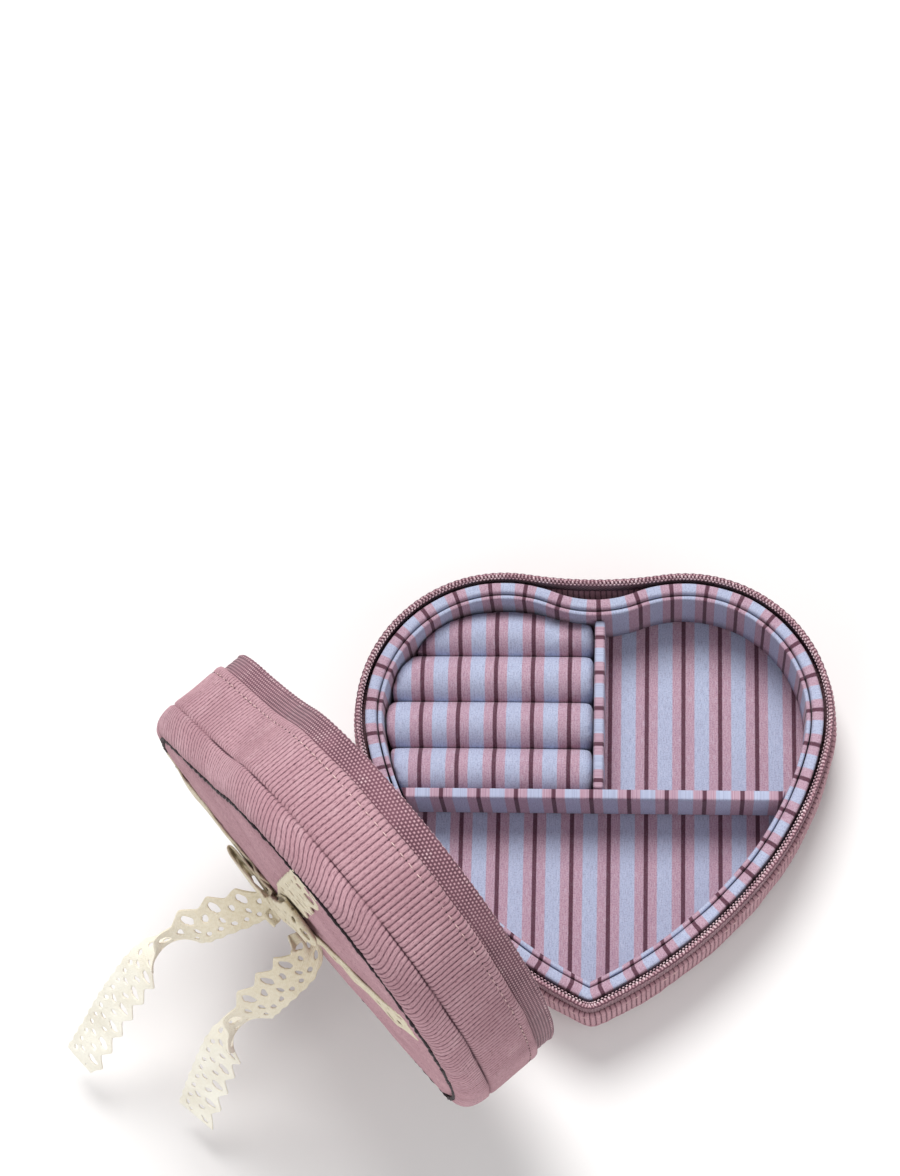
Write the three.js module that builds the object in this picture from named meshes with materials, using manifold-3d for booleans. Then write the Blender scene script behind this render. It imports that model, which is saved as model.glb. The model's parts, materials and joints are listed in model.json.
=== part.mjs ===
// A heart-shaped jewelry box with a zip round its middle, shown open: a tray with dividers
// and ring rolls in the base, and a padded lid with a lace bow, hinged on a strip of fabric.
// Units are millimetres, +Z up. The origin is on the table under the heart's middle, and
// the heart's tip points along -Y.

import * as THREE from "three";
import { mergeVertices } from "three/addons/utils/BufferGeometryUtils.js";
import Module from "manifold-3d";

const wasm = await Module();
wasm.setup();

// Clearance between pieces that touch in the real box.
const GAP = 0.3;

// Heart outline of the outer wall: a lobe, a hip and a side arc on each side, run into each
// other, with a hollow arc between the lobes. Angles are seen from each arc's own centre.
const LOBE_RADIUS = 40.6;
const LOBE_X = 24.6;
const LOBE_Y = 19.7;
const HIP_RADIUS = 91;
const HIP_START_DEG = -13;
const SIDE_RADIUS = 126;
const SIDE_START_DEG = -38;
const NOTCH_RADIUS = 119;
const TIP_RADIUS = 6;
const SHARP_CORNER = 0.4;

// The tray inside has a deeper notch than the zip outside, which bridges it.
const TRAY_NOTCH_RADIUS = 26;

// Points per arc.
const TIP_STEPS = 2;
const SIDE_STEPS = 5;
const HIP_STEPS = 4;
const LOBE_STEPS = 15;
const NOTCH_STEPS = 3;

// Base shell.
const ZIP_LINE = 26;
const WALL = 2.4;
const BASE_FLOOR = 2.4;
const ZIP_BAND = 6.5;
const BORDER_INSET = 5;
const BORDER_HEIGHT = 6.5;
const FOLD_ROUND = 0.6;

// Zip.
const TAPE_INSET = 1.0;
const TAPE_THICKNESS = 1.0;
const COIL_INSET = 0.8;
const COIL_WIDTH = 1.8;
const COIL_HEIGHT = 1.4;
const COIL_SETBACK = 0.2;

// Tray.
const RIM_INSET = 3.4;
const RIM_WIDTH = 3.1;
const RIM_TOP = 25;
const LINER_WIDTH = 1.3;
const LINER_TOP = 24.1;
const FLOOR_THICKNESS = 1.8;
const DIVIDER_TOP = 21;
const DIVIDER_THICKNESS = 2.8;
const LONG_DIVIDER_Y = -1.9;
const SHORT_DIVIDER_X = 1.5;
const ROLL_COUNT = 4;
const ROLL_TOP = 18.5;
const ROLL_SHOULDER = 13;

// Lid.
const LID_DEPTH = 28.7;
const LID_CROWN = 2.2;
const LID_PANEL = 2.4;
const SEAM_GROOVE = 0.5;
const LINING_THICKNESS = 1.1;
const LID_OPEN_DEG = 89.2;

// Fabric hinge on the heart's lower left side.
const HINGE_ANGLE_DEG = -41.5;
const HINGE_OFFSET = 2.7;
const HINGE_LENGTH = 36;
const HINGE_STRIP_HEIGHT = 11;
const HINGE_STRIP_THICKNESS = 0.8;
const HINGE_FOLD_RADIUS = 1.1;

// Zip slider, parked at the zip's hidden end.
const SLIDER_ANGLE_DEG = -22;
const SLIDER_LENGTH = 8.5;
const SLIDER_WIDTH = 5.5;
const SLIDER_THICKNESS = 2.2;
const PULL_LENGTH = 13;
const PULL_WIDTH = 4.6;
const PULL_THICKNESS = 1.2;

// Lace bow on the lid. The ends of its tails are given from the hinge: along it, out from
// the box's wall, and above the table.
const BOW_Y = 14;
const KNOT_LENGTH = 9;
const KNOT_HEIGHT = 11;
const KNOT_DEPTH = 5.4;
const LACE_WIDTH = 14;
const LACE_THICKNESS = 1.0;
const LOOP_REACH = 29;
const LOOP_RISE = 5.2;
const LOOP_TILT_DEG = 14;
const STRAP_THICKNESS = 0.8;
const STRAP_WIDTH = 12;
const STRAP_ENDS = { upper: [52.5, 41], lower: [48.5, -6] };
const TAIL_ONE = [[-11, 36.8, 80.2], [-12.8, 41.9, 77.6], [-24, 53, 71.5], [-34.5, 73, 46], [-39, 95, 12]];
const TAIL_TWO = [[-4.5, 36.8, 82.2], [-3.5, 41.9, 79.6], [-4.5, 53, 72.5], [-6, 67, 46], [-5.5, 81.5, 12]];

const radians = THREE.MathUtils.degToRad;
const arcPoint = (x, y, radius, angle) => [x + radius * Math.cos(angle), y + radius * Math.sin(angle)];

// The shared centres of the outline's arcs, for the heart's right half.
const lobeCentre = [LOBE_X, LOBE_Y];
const hipCentre = arcPoint(...lobeCentre, LOBE_RADIUS - HIP_RADIUS, radians(HIP_START_DEG));
const sideCentre = arcPoint(...hipCentre, HIP_RADIUS - SIDE_RADIUS, radians(SIDE_START_DEG));

function arc(centre, radius, from, to, steps) {
  const points = [];
  for (let i = 0; i <= steps; i += 1) {
    points.push(arcPoint(...centre, radius, from + ((to - from) * i) / steps));
  }
  return points;
}

// The heart's outline moved inwards by an inset, anticlockwise from the tip.
function heart(inset, notchRadius = NOTCH_RADIUS) {
  const tipRadius = Math.max(TIP_RADIUS - inset, SHARP_CORNER);
  const side = SIDE_RADIUS - inset;
  const tipY = sideCentre[1] - Math.sqrt((side - tipRadius) ** 2 - sideCentre[0] ** 2);
  const tipAngle = Math.atan2(tipY - sideCentre[1], -sideCentre[0]);
  const notchY = LOBE_Y + Math.sqrt((LOBE_RADIUS + notchRadius) ** 2 - LOBE_X ** 2);
  const notchAngle = Math.atan2(notchY - LOBE_Y, -LOBE_X);
  const right = [
    ...arc([0, tipY], tipRadius, -Math.PI / 2, tipAngle, TIP_STEPS),
    ...arc(sideCentre, side, tipAngle, radians(SIDE_START_DEG), SIDE_STEPS).slice(1),
    ...arc(hipCentre, HIP_RADIUS - inset, radians(SIDE_START_DEG), radians(HIP_START_DEG), HIP_STEPS).slice(1),
    ...arc(lobeCentre, LOBE_RADIUS - inset, radians(HIP_START_DEG), notchAngle, LOBE_STEPS).slice(1),
    ...arc([0, notchY], notchRadius + inset, notchAngle - Math.PI, -Math.PI / 2, NOTCH_STEPS).slice(1),
  ];
  right[0][0] = 0;
  right[right.length - 1][0] = 0;
  const left = right.slice(1, -1).reverse().map(([x, y]) => [-x, y]);
  return [...right, ...left];
}

// A copy of an outline shrunk towards a point.
function shrunk(outline, centre, share) {
  return outline.map(([x, y]) => [centre[0] + (x - centre[0]) * share, centre[1] + (y - centre[1]) * share]);
}

// A solid through a stack of outlines, each an [outline, z]. The stack closes on itself, or
// ends in a fan of triangles around a point at each end.
function loft(stack, closed, pole = [0, 0]) {
  const count = stack[0][0].length;
  const positions = [];
  const index = [];
  for (const [outline, z] of stack) {
    for (const [x, y] of outline) {
      positions.push(x, y, z);
    }
  }
  const rows = closed ? stack.length : stack.length - 1;
  for (let row = 0; row < rows; row += 1) {
    const next = (row + 1) % stack.length;
    for (let i = 0; i < count; i += 1) {
      const j = (i + 1) % count;
      const [a, b, c, d] = [row * count + i, row * count + j, next * count + j, next * count + i];
      index.push(a, b, c, a, c, d);
    }
  }
  if (!closed) {
    const last = stack.length - 1;
    const start = positions.length / 3;
    positions.push(...pole, stack[0][1], ...pole, stack[last][1]);
    for (let i = 0; i < count; i += 1) {
      const j = (i + 1) % count;
      index.push(start, j, i, start + 1, last * count + i, last * count + j);
    }
  }
  const geometry = new THREE.BufferGeometry();
  geometry.setAttribute("position", new THREE.Float32BufferAttribute(positions, 3));
  geometry.setIndex(index);
  return geometry;
}

// A ring wall between two insets and two heights.
function ringWall(outer, inner, low, high, notchRadius) {
  const out = heart(outer, notchRadius);
  const inn = heart(inner, notchRadius);
  return loft([[out, low], [out, high], [inn, high], [inn, low]], true);
}

function plate(inset, low, high, notchRadius) {
  const outline = heart(inset, notchRadius);
  return loft([[outline, low], [outline, high]], false);
}

function toSolid(geometry) {
  const bare = geometry.clone();
  bare.deleteAttribute("normal");
  bare.deleteAttribute("uv");
  const merged = mergeVertices(bare, 1e-5);
  return new wasm.Manifold(new wasm.Mesh({
    numProp: 3,
    vertProperties: new Float32Array(merged.attributes.position.array),
    triVerts: new Uint32Array(merged.index.array),
  }));
}

function fromSolid(solid) {
  const mesh = solid.getMesh();
  const geometry = new THREE.BufferGeometry();
  geometry.setAttribute("position", new THREE.BufferAttribute(new Float32Array(mesh.vertProperties), 3));
  geometry.setIndex(new THREE.BufferAttribute(new Uint32Array(mesh.triVerts), 1));
  return geometry;
}

function clipped(geometry, ...shapes) {
  return fromSolid(shapes.reduce((solid, shape) => solid.intersect(toSolid(shape)), toSolid(geometry)));
}

function boxBetween(low, high) {
  const size = high.map((value, i) => value - low[i]);
  const middle = high.map((value, i) => (value + low[i]) / 2);
  return new THREE.BoxGeometry(...size).translate(...middle);
}

// A strip of ribbon: a row of stations, each with its middle, the direction across the
// ribbon and its own width.
function ribbon(stations, thickness) {
  const positions = [];
  const index = [];
  const step = new THREE.Vector3();
  stations.forEach(({ at, across, width }, i) => {
    const before = stations[Math.max(i - 1, 0)].at;
    const after = stations[Math.min(i + 1, stations.length - 1)].at;
    step.subVectors(after, before).normalize();
    const normal = new THREE.Vector3().crossVectors(step, across).normalize();
    const side = new THREE.Vector3().crossVectors(normal, step).normalize();
    for (const [u, v] of [[-0.5, -0.5], [0.5, -0.5], [0.5, 0.5], [-0.5, 0.5]]) {
      const corner = at.clone().addScaledVector(side, u * width).addScaledVector(normal, v * thickness);
      positions.push(corner.x, corner.y, corner.z);
    }
  });
  const last = (stations.length - 1) * 4;
  for (let s = 0; s < last; s += 4) {
    for (let i = 0; i < 4; i += 1) {
      const j = (i + 1) % 4;
      index.push(s + i, s + j, s + 4 + j, s + i, s + 4 + j, s + 4 + i);
    }
  }
  index.push(0, 2, 1, 0, 3, 2, last, last + 1, last + 2, last, last + 2, last + 3);
  const geometry = new THREE.BufferGeometry();
  geometry.setAttribute("position", new THREE.Float32BufferAttribute(positions, 3));
  geometry.setIndex(index);
  return geometry;
}

const finishes = {
  corduroy: { color: 0xbe969e, roughness: 0.92 },
  zipTape: { color: 0x966973, roughness: 0.85 },
  zipCoil: { color: 0x8a5f6c, roughness: 0.45 },
  stripedCotton: { color: 0xb4b4d2, roughness: 0.9 },
  lace: { color: 0xe2d7bc, roughness: 0.9 },
  metal: { color: 0xb8a48c, roughness: 0.35, metalness: 0.9 },
};
const materials = Object.fromEntries(
  Object.entries(finishes).map(([name, values]) => [name, new THREE.MeshStandardMaterial(values)]),
);

function piece(name, geometry, finish) {
  const mesh = new THREE.Mesh(geometry, materials[finish]);
  mesh.name = name;
  return mesh;
}

// The wall's profile from the panel's seam round the border to the fold at the zip, as
// [inset, height above the panel].
const borderProfile = [
  [BORDER_INSET, 0],
  [BORDER_INSET * 0.52, 0.45],
  [BORDER_INSET * 0.22, BORDER_HEIGHT * 0.3],
  [BORDER_INSET * 0.05, BORDER_HEIGHT * 0.68],
  [0, BORDER_HEIGHT],
];

function baseShell() {
  const top = ZIP_LINE - ZIP_BAND;
  const stack = borderProfile.map(([inset, height]) => [heart(inset), height]);
  stack.push([heart(0), top - FOLD_ROUND], [heart(FOLD_ROUND), top]);
  stack.push([heart(WALL), top], [heart(WALL), BASE_FLOOR]);
  return loft(stack, false);
}

// The lid's pieces are made closed, as they lie on the base.
function lidShell() {
  const pole = [0, BOW_Y];
  const low = ZIP_LINE + ZIP_BAND;
  const high = ZIP_LINE + LID_DEPTH;
  const seam = heart(BORDER_INSET);
  const inner = heart(WALL);
  const stack = [[inner, high - LID_PANEL], [inner, low], [heart(FOLD_ROUND), low], [heart(0), low + FOLD_ROUND]];
  for (const [inset, height] of [...borderProfile].reverse()) {
    stack.push([heart(inset), high - height]);
  }
  stack.push([heart(BORDER_INSET + SEAM_GROOVE), high - SEAM_GROOVE]);
  for (const share of [0.95, 0.8, 0.55, 0.28]) {
    stack.push([shrunk(seam, pole, share), high + LID_CROWN * (1 - share ** 2)]);
  }
  return loft(stack, false, pole);
}

function zipTape(low, high) {
  return ringWall(TAPE_INSET, TAPE_INSET + TAPE_THICKNESS, low, high);
}

function zipCoil(low) {
  return ringWall(COIL_INSET, COIL_INSET + COIL_WIDTH, low, low + COIL_HEIGHT);
}

// Heights inside the tray.
const trayBottom = BASE_FLOOR + GAP;
const trayFloorTop = trayBottom + FLOOR_THICKNESS;
const wallFoot = trayFloorTop + GAP;
const linerInset = RIM_INSET + RIM_WIDTH + GAP;
const cavityInset = linerInset + LINER_WIDTH;
const cavity = () => plate(cavityInset + GAP, 0, ZIP_LINE, TRAY_NOTCH_RADIUS);
const highestY = LOBE_Y + LOBE_RADIUS;
const widestX = LOBE_X + LOBE_RADIUS;

function longDivider() {
  const half = DIVIDER_THICKNESS / 2;
  const low = [-widestX, LONG_DIVIDER_Y - half, wallFoot];
  return clipped(boxBetween(low, [widestX, LONG_DIVIDER_Y + half, DIVIDER_TOP]), cavity());
}

const longDividerBack = LONG_DIVIDER_Y + DIVIDER_THICKNESS / 2;

function shortDivider() {
  const half = DIVIDER_THICKNESS / 2;
  const low = [SHORT_DIVIDER_X - half, longDividerBack + GAP, wallFoot];
  return clipped(boxBetween(low, [SHORT_DIVIDER_X + half, highestY, DIVIDER_TOP]), cavity());
}

// A padded roll across the left compartment: upright sides and a rounded top.
function ringRoll(number) {
  const back = highestY - cavityInset;
  const pitch = (back - longDividerBack) / ROLL_COUNT;
  const low = longDividerBack + GAP + pitch * number;
  const width = pitch - GAP;
  const profile = new THREE.Shape();
  profile.moveTo(0, wallFoot);
  profile.lineTo(width, wallFoot);
  profile.lineTo(width, ROLL_SHOULDER);
  profile.absellipse(width / 2, ROLL_SHOULDER, width / 2, ROLL_TOP - ROLL_SHOULDER, 0, Math.PI, false);
  const length = SHORT_DIVIDER_X - DIVIDER_THICKNESS / 2 - GAP + widestX;
  const options = { depth: length, bevelEnabled: false, curveSegments: 5 };
  const bar = new THREE.ExtrudeGeometry(profile, options);
  // The profile's own axes become Y and Z, and the bar runs along X.
  bar.applyMatrix4(new THREE.Matrix4().makeBasis(
    new THREE.Vector3(0, 1, 0), new THREE.Vector3(0, 0, 1), new THREE.Vector3(1, 0, 0),
  ));
  bar.translate(-widestX, low, 0);
  return clipped(bar, cavity());
}

// The hinge's frame: its middle on the zip line, the direction along it towards the tip,
// and the direction out from the wall.
const hingeAngle = Math.PI - radians(HINGE_ANGLE_DEG);
const outward = new THREE.Vector3(Math.cos(hingeAngle), Math.sin(hingeAngle), 0);
const along = new THREE.Vector3(-outward.y, outward.x, 0);
const wallPoint = new THREE.Vector3(-sideCentre[0], sideCentre[1], ZIP_LINE).addScaledVector(outward, SIDE_RADIUS);
const hingePoint = wallPoint.clone().addScaledVector(outward, HINGE_OFFSET);

// A point given along the hinge, out from the wall and above the table.
function fromHinge([s, out, z]) {
  const point = wallPoint.clone().addScaledVector(along, s - wallPoint.dot(along)).addScaledVector(outward, out);
  point.z = z;
  return point;
}

// A bar along the hinge with a profile in [out from the wall, height].
function hingeBar(profile, length) {
  const shape = new THREE.Shape(profile.map(([out, z]) => new THREE.Vector2(out, z)));
  const bar = new THREE.ExtrudeGeometry(shape, { depth: length, bevelEnabled: false });
  bar.translate(0, 0, -length / 2);
  const up = new THREE.Vector3(0, 0, 1);
  const end = new THREE.Vector3().crossVectors(outward, up);
  bar.applyMatrix4(new THREE.Matrix4().makeBasis(outward, up, end));
  return bar.translate(wallPoint.x, wallPoint.y, 0);
}

// The strip on the base's wall, with the fold that the lid turns on.
function hingeStripBase() {
  const inner = GAP;
  const outer = GAP + HINGE_STRIP_THICKNESS;
  const fold = [];
  for (let i = 0; i <= 8; i += 1) {
    const angle = -Math.PI / 2 + (Math.PI * i) / 8;
    fold.push([HINGE_OFFSET + HINGE_FOLD_RADIUS * Math.cos(angle), ZIP_LINE + HINGE_FOLD_RADIUS * Math.sin(angle)]);
  }
  const leftOfFold = HINGE_OFFSET - HINGE_FOLD_RADIUS;
  const web = ZIP_LINE - HINGE_FOLD_RADIUS;
  return hingeBar([
    [inner, ZIP_LINE - HINGE_STRIP_HEIGHT],
    [outer, ZIP_LINE - HINGE_STRIP_HEIGHT],
    [outer, web - HINGE_STRIP_THICKNESS],
    ...fold,
    [leftOfFold, ZIP_LINE],
    [leftOfFold, web],
    [inner, web - HINGE_STRIP_THICKNESS],
  ], HINGE_LENGTH);
}

function hingeStripLid() {
  const low = ZIP_LINE + HINGE_FOLD_RADIUS + GAP;
  const high = ZIP_LINE + HINGE_STRIP_HEIGHT;
  const outer = GAP + HINGE_STRIP_THICKNESS;
  return hingeBar([[GAP, low], [outer, low], [outer, high], [GAP, high]], HINGE_LENGTH);
}

// The slider stands on its edge against the zip, outside the wall, below the zip line.
function sliderFrame() {
  const angle = Math.PI - radians(SLIDER_ANGLE_DEG);
  const out = new THREE.Vector3(Math.cos(angle), Math.sin(angle), 0);
  const up = new THREE.Vector3(0, 0, 1);
  const wall = new THREE.Vector3(-hipCentre[0], hipCentre[1], 0).addScaledVector(out, HIP_RADIUS);
  const basis = new THREE.Matrix4().makeBasis(new THREE.Vector3().crossVectors(up, out), up, out);
  return basis.setPosition(wall);
}

function zipSlider() {
  const half = SLIDER_LENGTH / 2;
  const high = ZIP_LINE - COIL_SETBACK;
  const low = high - SLIDER_WIDTH;
  const outline = new THREE.Shape();
  outline.moveTo(-half, low + SLIDER_WIDTH * 0.28);
  outline.lineTo(-half * 0.35, low);
  outline.lineTo(half * 0.35, low);
  outline.lineTo(half, low + SLIDER_WIDTH * 0.28);
  outline.lineTo(half, high);
  outline.lineTo(-half, high);
  const body = new THREE.ExtrudeGeometry(outline, { depth: SLIDER_THICKNESS, bevelEnabled: false });
  return body.translate(0, 0, GAP).applyMatrix4(sliderFrame());
}

function zipPull() {
  const top = ZIP_LINE - COIL_SETBACK - SLIDER_WIDTH * 0.4;
  const outline = new THREE.Shape();
  outline.absellipse(0, top - PULL_LENGTH / 2, PULL_WIDTH / 2, PULL_LENGTH / 2, 0, Math.PI * 2, false);
  const hole = new THREE.Path();
  hole.absellipse(0, top - PULL_LENGTH * 0.72, PULL_WIDTH * 0.2, PULL_LENGTH * 0.13, 0, Math.PI * 2, true);
  outline.holes.push(hole);
  const body = new THREE.ExtrudeGeometry(outline, { depth: PULL_THICKNESS, bevelEnabled: false, curveSegments: 8 });
  return body.translate(0, 0, SLIDER_THICKNESS + 2 * GAP).applyMatrix4(sliderFrame());
}

// Height of the lid's padded face above a point, closed.
const seamOutline = heart(BORDER_INSET);
function faceHeight(x, y) {
  const reach = Math.hypot(x, y - BOW_Y);
  const angle = Math.atan2(y - BOW_Y, x);
  let edge = widestX;
  for (let i = 0; i < seamOutline.length; i += 1) {
    const [ax, ay] = seamOutline[i];
    const [bx, by] = seamOutline[(i + 1) % seamOutline.length];
    const across = (bx - ax) * Math.sin(angle) - (by - ay) * Math.cos(angle);
    const distance = ((bx - ax) * (ay - BOW_Y) - (by - ay) * ax) / across;
    const share = (Math.cos(angle) * (ay - BOW_Y) - Math.sin(angle) * ax) / across;
    if (distance > 0 && share >= 0 && share <= 1) {
      edge = distance;
    }
  }
  return ZIP_LINE + LID_DEPTH + LID_CROWN * (1 - Math.min(reach / edge, 1) ** 2);
}

const faceTop = ZIP_LINE + LID_DEPTH + LID_CROWN;
const strapRest = GAP + STRAP_THICKNESS / 2;
const loopRest = GAP + STRAP_THICKNESS + GAP + LACE_THICKNESS / 2;

function laceKnot() {
  const lift = GAP + STRAP_THICKNESS + GAP;
  const knot = new THREE.SphereGeometry(0.5, 12, 8).scale(KNOT_LENGTH, KNOT_HEIGHT, KNOT_DEPTH);
  return knot.translate(0, BOW_Y, faceTop + lift + KNOT_DEPTH / 2);
}

// A strap sewn into the seam at its far end, lying on the face as far as the knot.
function laceStrap([endX, endY], sign) {
  const reach = Math.hypot(endX, endY - BOW_Y);
  const direction = [(sign * endX) / reach, (endY - BOW_Y) / reach];
  const across = new THREE.Vector3(-direction[1], direction[0], 0);
  const start = KNOT_LENGTH * 1.15;
  const stations = [];
  for (let i = 0; i <= 4; i += 1) {
    const distance = start + ((reach - start) * i) / 4;
    const x = direction[0] * distance;
    const y = BOW_Y + direction[1] * distance;
    const width = STRAP_WIDTH * (i === 0 ? 0.55 : 1);
    stations.push({ at: new THREE.Vector3(x, y, faceHeight(x, y) + strapRest + GAP), across, width });
  }
  return ribbon(stations, STRAP_THICKNESS);
}

// A loop of lace: out from the knot along the face, round at its tip and back above.
function laceLoop(sign) {
  const tilt = radians(LOOP_TILT_DEG);
  const across = new THREE.Vector3(-sign * Math.sin(tilt), Math.cos(tilt), 0);
  const start = KNOT_LENGTH / 2 + GAP + 0.4;
  const low = faceTop + loopRest;
  const path = [
    [start, 1.2, 0.45], [start + 5, 0.7, 0.8], [LOOP_REACH * 0.7, 0.3, 1], [LOOP_REACH - 2, 0.5, 1],
    [LOOP_REACH, LOOP_RISE * 0.5, 1], [LOOP_REACH - 2, LOOP_RISE * 0.92, 1], [LOOP_REACH * 0.7, LOOP_RISE, 1],
    [start + 5, LOOP_RISE * 0.82, 0.8], [start, LOOP_RISE * 0.62, 0.45],
  ];
  const stations = path.map(([distance, rise, width]) => ({
    at: new THREE.Vector3(
      sign * Math.cos(tilt) * distance,
      BOW_Y + Math.sin(tilt) * distance,
      low + rise,
    ),
    across,
    width: LACE_WIDTH * width,
  }));
  return ribbon(stations, LACE_THICKNESS);
}

// A tail of lace along a curve through points given from the hinge, with half a twist.
function laceTail(points, twist) {
  const curve = new THREE.CatmullRomCurve3(points.map(fromHinge));
  const steps = 10;
  const stations = [];
  for (let i = 0; i <= steps; i += 1) {
    const share = i / steps;
    const across = along.clone().applyAxisAngle(curve.getTangent(share), twist * share);
    const narrow = share < 0.1 ? 0.45 : 0.9;
    stations.push({ at: curve.getPoint(share), across, width: LACE_WIDTH * narrow });
  }
  return ribbon(stations, LACE_THICKNESS);
}

const box = new THREE.Group();

const coilLow = ZIP_LINE - COIL_SETBACK - COIL_HEIGHT;
box.add(
  piece("base_shell", baseShell(), "corduroy"),
  piece("base_zip_tape", zipTape(ZIP_LINE - ZIP_BAND + GAP, coilLow - GAP), "zipTape"),
  piece("base_zip_coil", zipCoil(coilLow), "zipCoil"),
  piece("tray_floor", plate(RIM_INSET, trayBottom, trayFloorTop, TRAY_NOTCH_RADIUS), "stripedCotton"),
  piece("tray_rim", ringWall(RIM_INSET, RIM_INSET + RIM_WIDTH, wallFoot, RIM_TOP, TRAY_NOTCH_RADIUS), "stripedCotton"),
  piece("tray_liner", ringWall(linerInset, cavityInset, wallFoot, LINER_TOP, TRAY_NOTCH_RADIUS), "stripedCotton"),
  piece("divider_long", longDivider(), "stripedCotton"),
  piece("divider_short", shortDivider(), "stripedCotton"),
  piece("hinge_strip_base", hingeStripBase(), "corduroy"),
  piece("zip_slider", zipSlider(), "metal"),
  piece("zip_pull", zipPull(), "metal"),
);
for (let number = 0; number < ROLL_COUNT; number += 1) {
  box.add(piece(`ring_roll_${number + 1}`, ringRoll(number), "stripedCotton"));
}

// The lid, made closed, is turned open about the hinge.
const lid = new THREE.Group();
const lidCoilLow = ZIP_LINE + COIL_SETBACK;
const liningOuter = WALL + GAP;
const liningTop = ZIP_LINE + LID_DEPTH - LID_PANEL - GAP;
const liningFoot = ZIP_LINE + ZIP_BAND;
lid.add(
  piece("lid_shell", lidShell(), "corduroy"),
  piece("lid_zip_tape", zipTape(lidCoilLow + COIL_HEIGHT + GAP, ZIP_LINE + ZIP_BAND - GAP), "zipTape"),
  piece("lid_zip_coil", zipCoil(lidCoilLow), "zipCoil"),
  piece("lid_lining", loft([
    [heart(liningOuter + LINING_THICKNESS), liningTop - LINING_THICKNESS],
    [heart(liningOuter + LINING_THICKNESS), liningFoot],
    [heart(liningOuter), liningFoot],
    [heart(liningOuter), liningTop],
  ], false, [0, BOW_Y]), "stripedCotton"),
  piece("hinge_strip_lid", hingeStripLid(), "corduroy"),
  piece("lace_knot", laceKnot(), "lace"),
  piece("lace_loop_right", laceLoop(1), "lace"),
  piece("lace_loop_left", laceLoop(-1), "lace"),
  piece("lace_strap_upper_right", laceStrap(STRAP_ENDS.upper, 1), "lace"),
  piece("lace_strap_lower_right", laceStrap(STRAP_ENDS.lower, 1), "lace"),
  piece("lace_strap_upper_left", laceStrap(STRAP_ENDS.upper, -1), "lace"),
  piece("lace_strap_lower_left", laceStrap(STRAP_ENDS.lower, -1), "lace"),
);
lid.applyMatrix4(new THREE.Matrix4()
  .makeTranslation(hingePoint)
  .multiply(new THREE.Matrix4().makeRotationAxis(along, radians(LID_OPEN_DEG)))
  .multiply(new THREE.Matrix4().makeTranslation(hingePoint.clone().negate())));
box.add(lid);

// The tails hang free from the knot of the open lid.
box.add(
  piece("lace_tail_one", laceTail(TAIL_ONE, 1.2), "lace"),
  piece("lace_tail_two", laceTail(TAIL_TWO, -1.2), "lace"),
);

export default box;
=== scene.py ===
# %% [markdown]
# # A heart-shaped jewelry box in ribbed fabric
#
# The real box is two shallow halves of covered board, joined round the middle by a zip. The
# base holds a striped tray with dividers and ring rolls. The lid is padded and carries a bow
# of cotton lace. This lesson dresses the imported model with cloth, thread and lace, all in
# metres and in the model's own frame, where the heart's tip points along -Y.

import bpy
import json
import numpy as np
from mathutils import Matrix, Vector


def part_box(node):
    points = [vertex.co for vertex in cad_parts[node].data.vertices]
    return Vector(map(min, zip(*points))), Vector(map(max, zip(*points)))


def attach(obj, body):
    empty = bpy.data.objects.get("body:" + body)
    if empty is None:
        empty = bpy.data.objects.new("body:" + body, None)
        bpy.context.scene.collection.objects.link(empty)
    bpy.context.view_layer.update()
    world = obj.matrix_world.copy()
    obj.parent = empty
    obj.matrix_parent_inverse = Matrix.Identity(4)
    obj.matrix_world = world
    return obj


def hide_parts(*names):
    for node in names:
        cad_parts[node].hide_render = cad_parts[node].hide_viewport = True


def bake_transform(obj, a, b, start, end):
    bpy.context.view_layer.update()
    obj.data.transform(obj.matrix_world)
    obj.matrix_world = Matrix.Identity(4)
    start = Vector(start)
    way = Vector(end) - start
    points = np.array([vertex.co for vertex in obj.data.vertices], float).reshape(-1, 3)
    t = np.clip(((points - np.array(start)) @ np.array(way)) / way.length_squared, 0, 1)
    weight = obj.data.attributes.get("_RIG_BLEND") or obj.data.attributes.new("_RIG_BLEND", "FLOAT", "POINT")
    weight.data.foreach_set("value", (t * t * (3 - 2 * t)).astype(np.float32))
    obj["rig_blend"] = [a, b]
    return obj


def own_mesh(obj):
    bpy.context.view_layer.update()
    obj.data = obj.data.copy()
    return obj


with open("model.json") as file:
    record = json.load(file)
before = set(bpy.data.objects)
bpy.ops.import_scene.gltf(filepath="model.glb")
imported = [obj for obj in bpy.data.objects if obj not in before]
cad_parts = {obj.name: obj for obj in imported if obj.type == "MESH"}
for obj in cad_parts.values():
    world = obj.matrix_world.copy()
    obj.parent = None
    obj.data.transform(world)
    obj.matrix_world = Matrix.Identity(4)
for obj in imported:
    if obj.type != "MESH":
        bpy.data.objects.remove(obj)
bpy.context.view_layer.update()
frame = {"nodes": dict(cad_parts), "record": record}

import json
import math

import bmesh
import bpy
import numpy as np
from mathutils import Matrix, Vector, noise

MM = 0.001
nodes = frame["nodes"]

# %% [markdown]
# ## Sizes
#
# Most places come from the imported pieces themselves. The outline of the heart is repeated
# here as the few arcs that it is drawn with, because a ring of cloth has to follow it
# smoothly at any distance in from the wall.

# %% Named sizes
LOBE_RADIUS = 40.6 * MM
LOBE_X = 24.6 * MM
LOBE_Y = 19.7 * MM
HIP_RADIUS = 91 * MM
HIP_START = math.radians(-13)
SIDE_RADIUS = 126 * MM
SIDE_START = math.radians(-38)
NOTCH_RADIUS = 119 * MM
TRAY_NOTCH_RADIUS = 26 * MM
TIP_RADIUS = 6 * MM
SHARP_CORNER = 0.4 * MM

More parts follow.
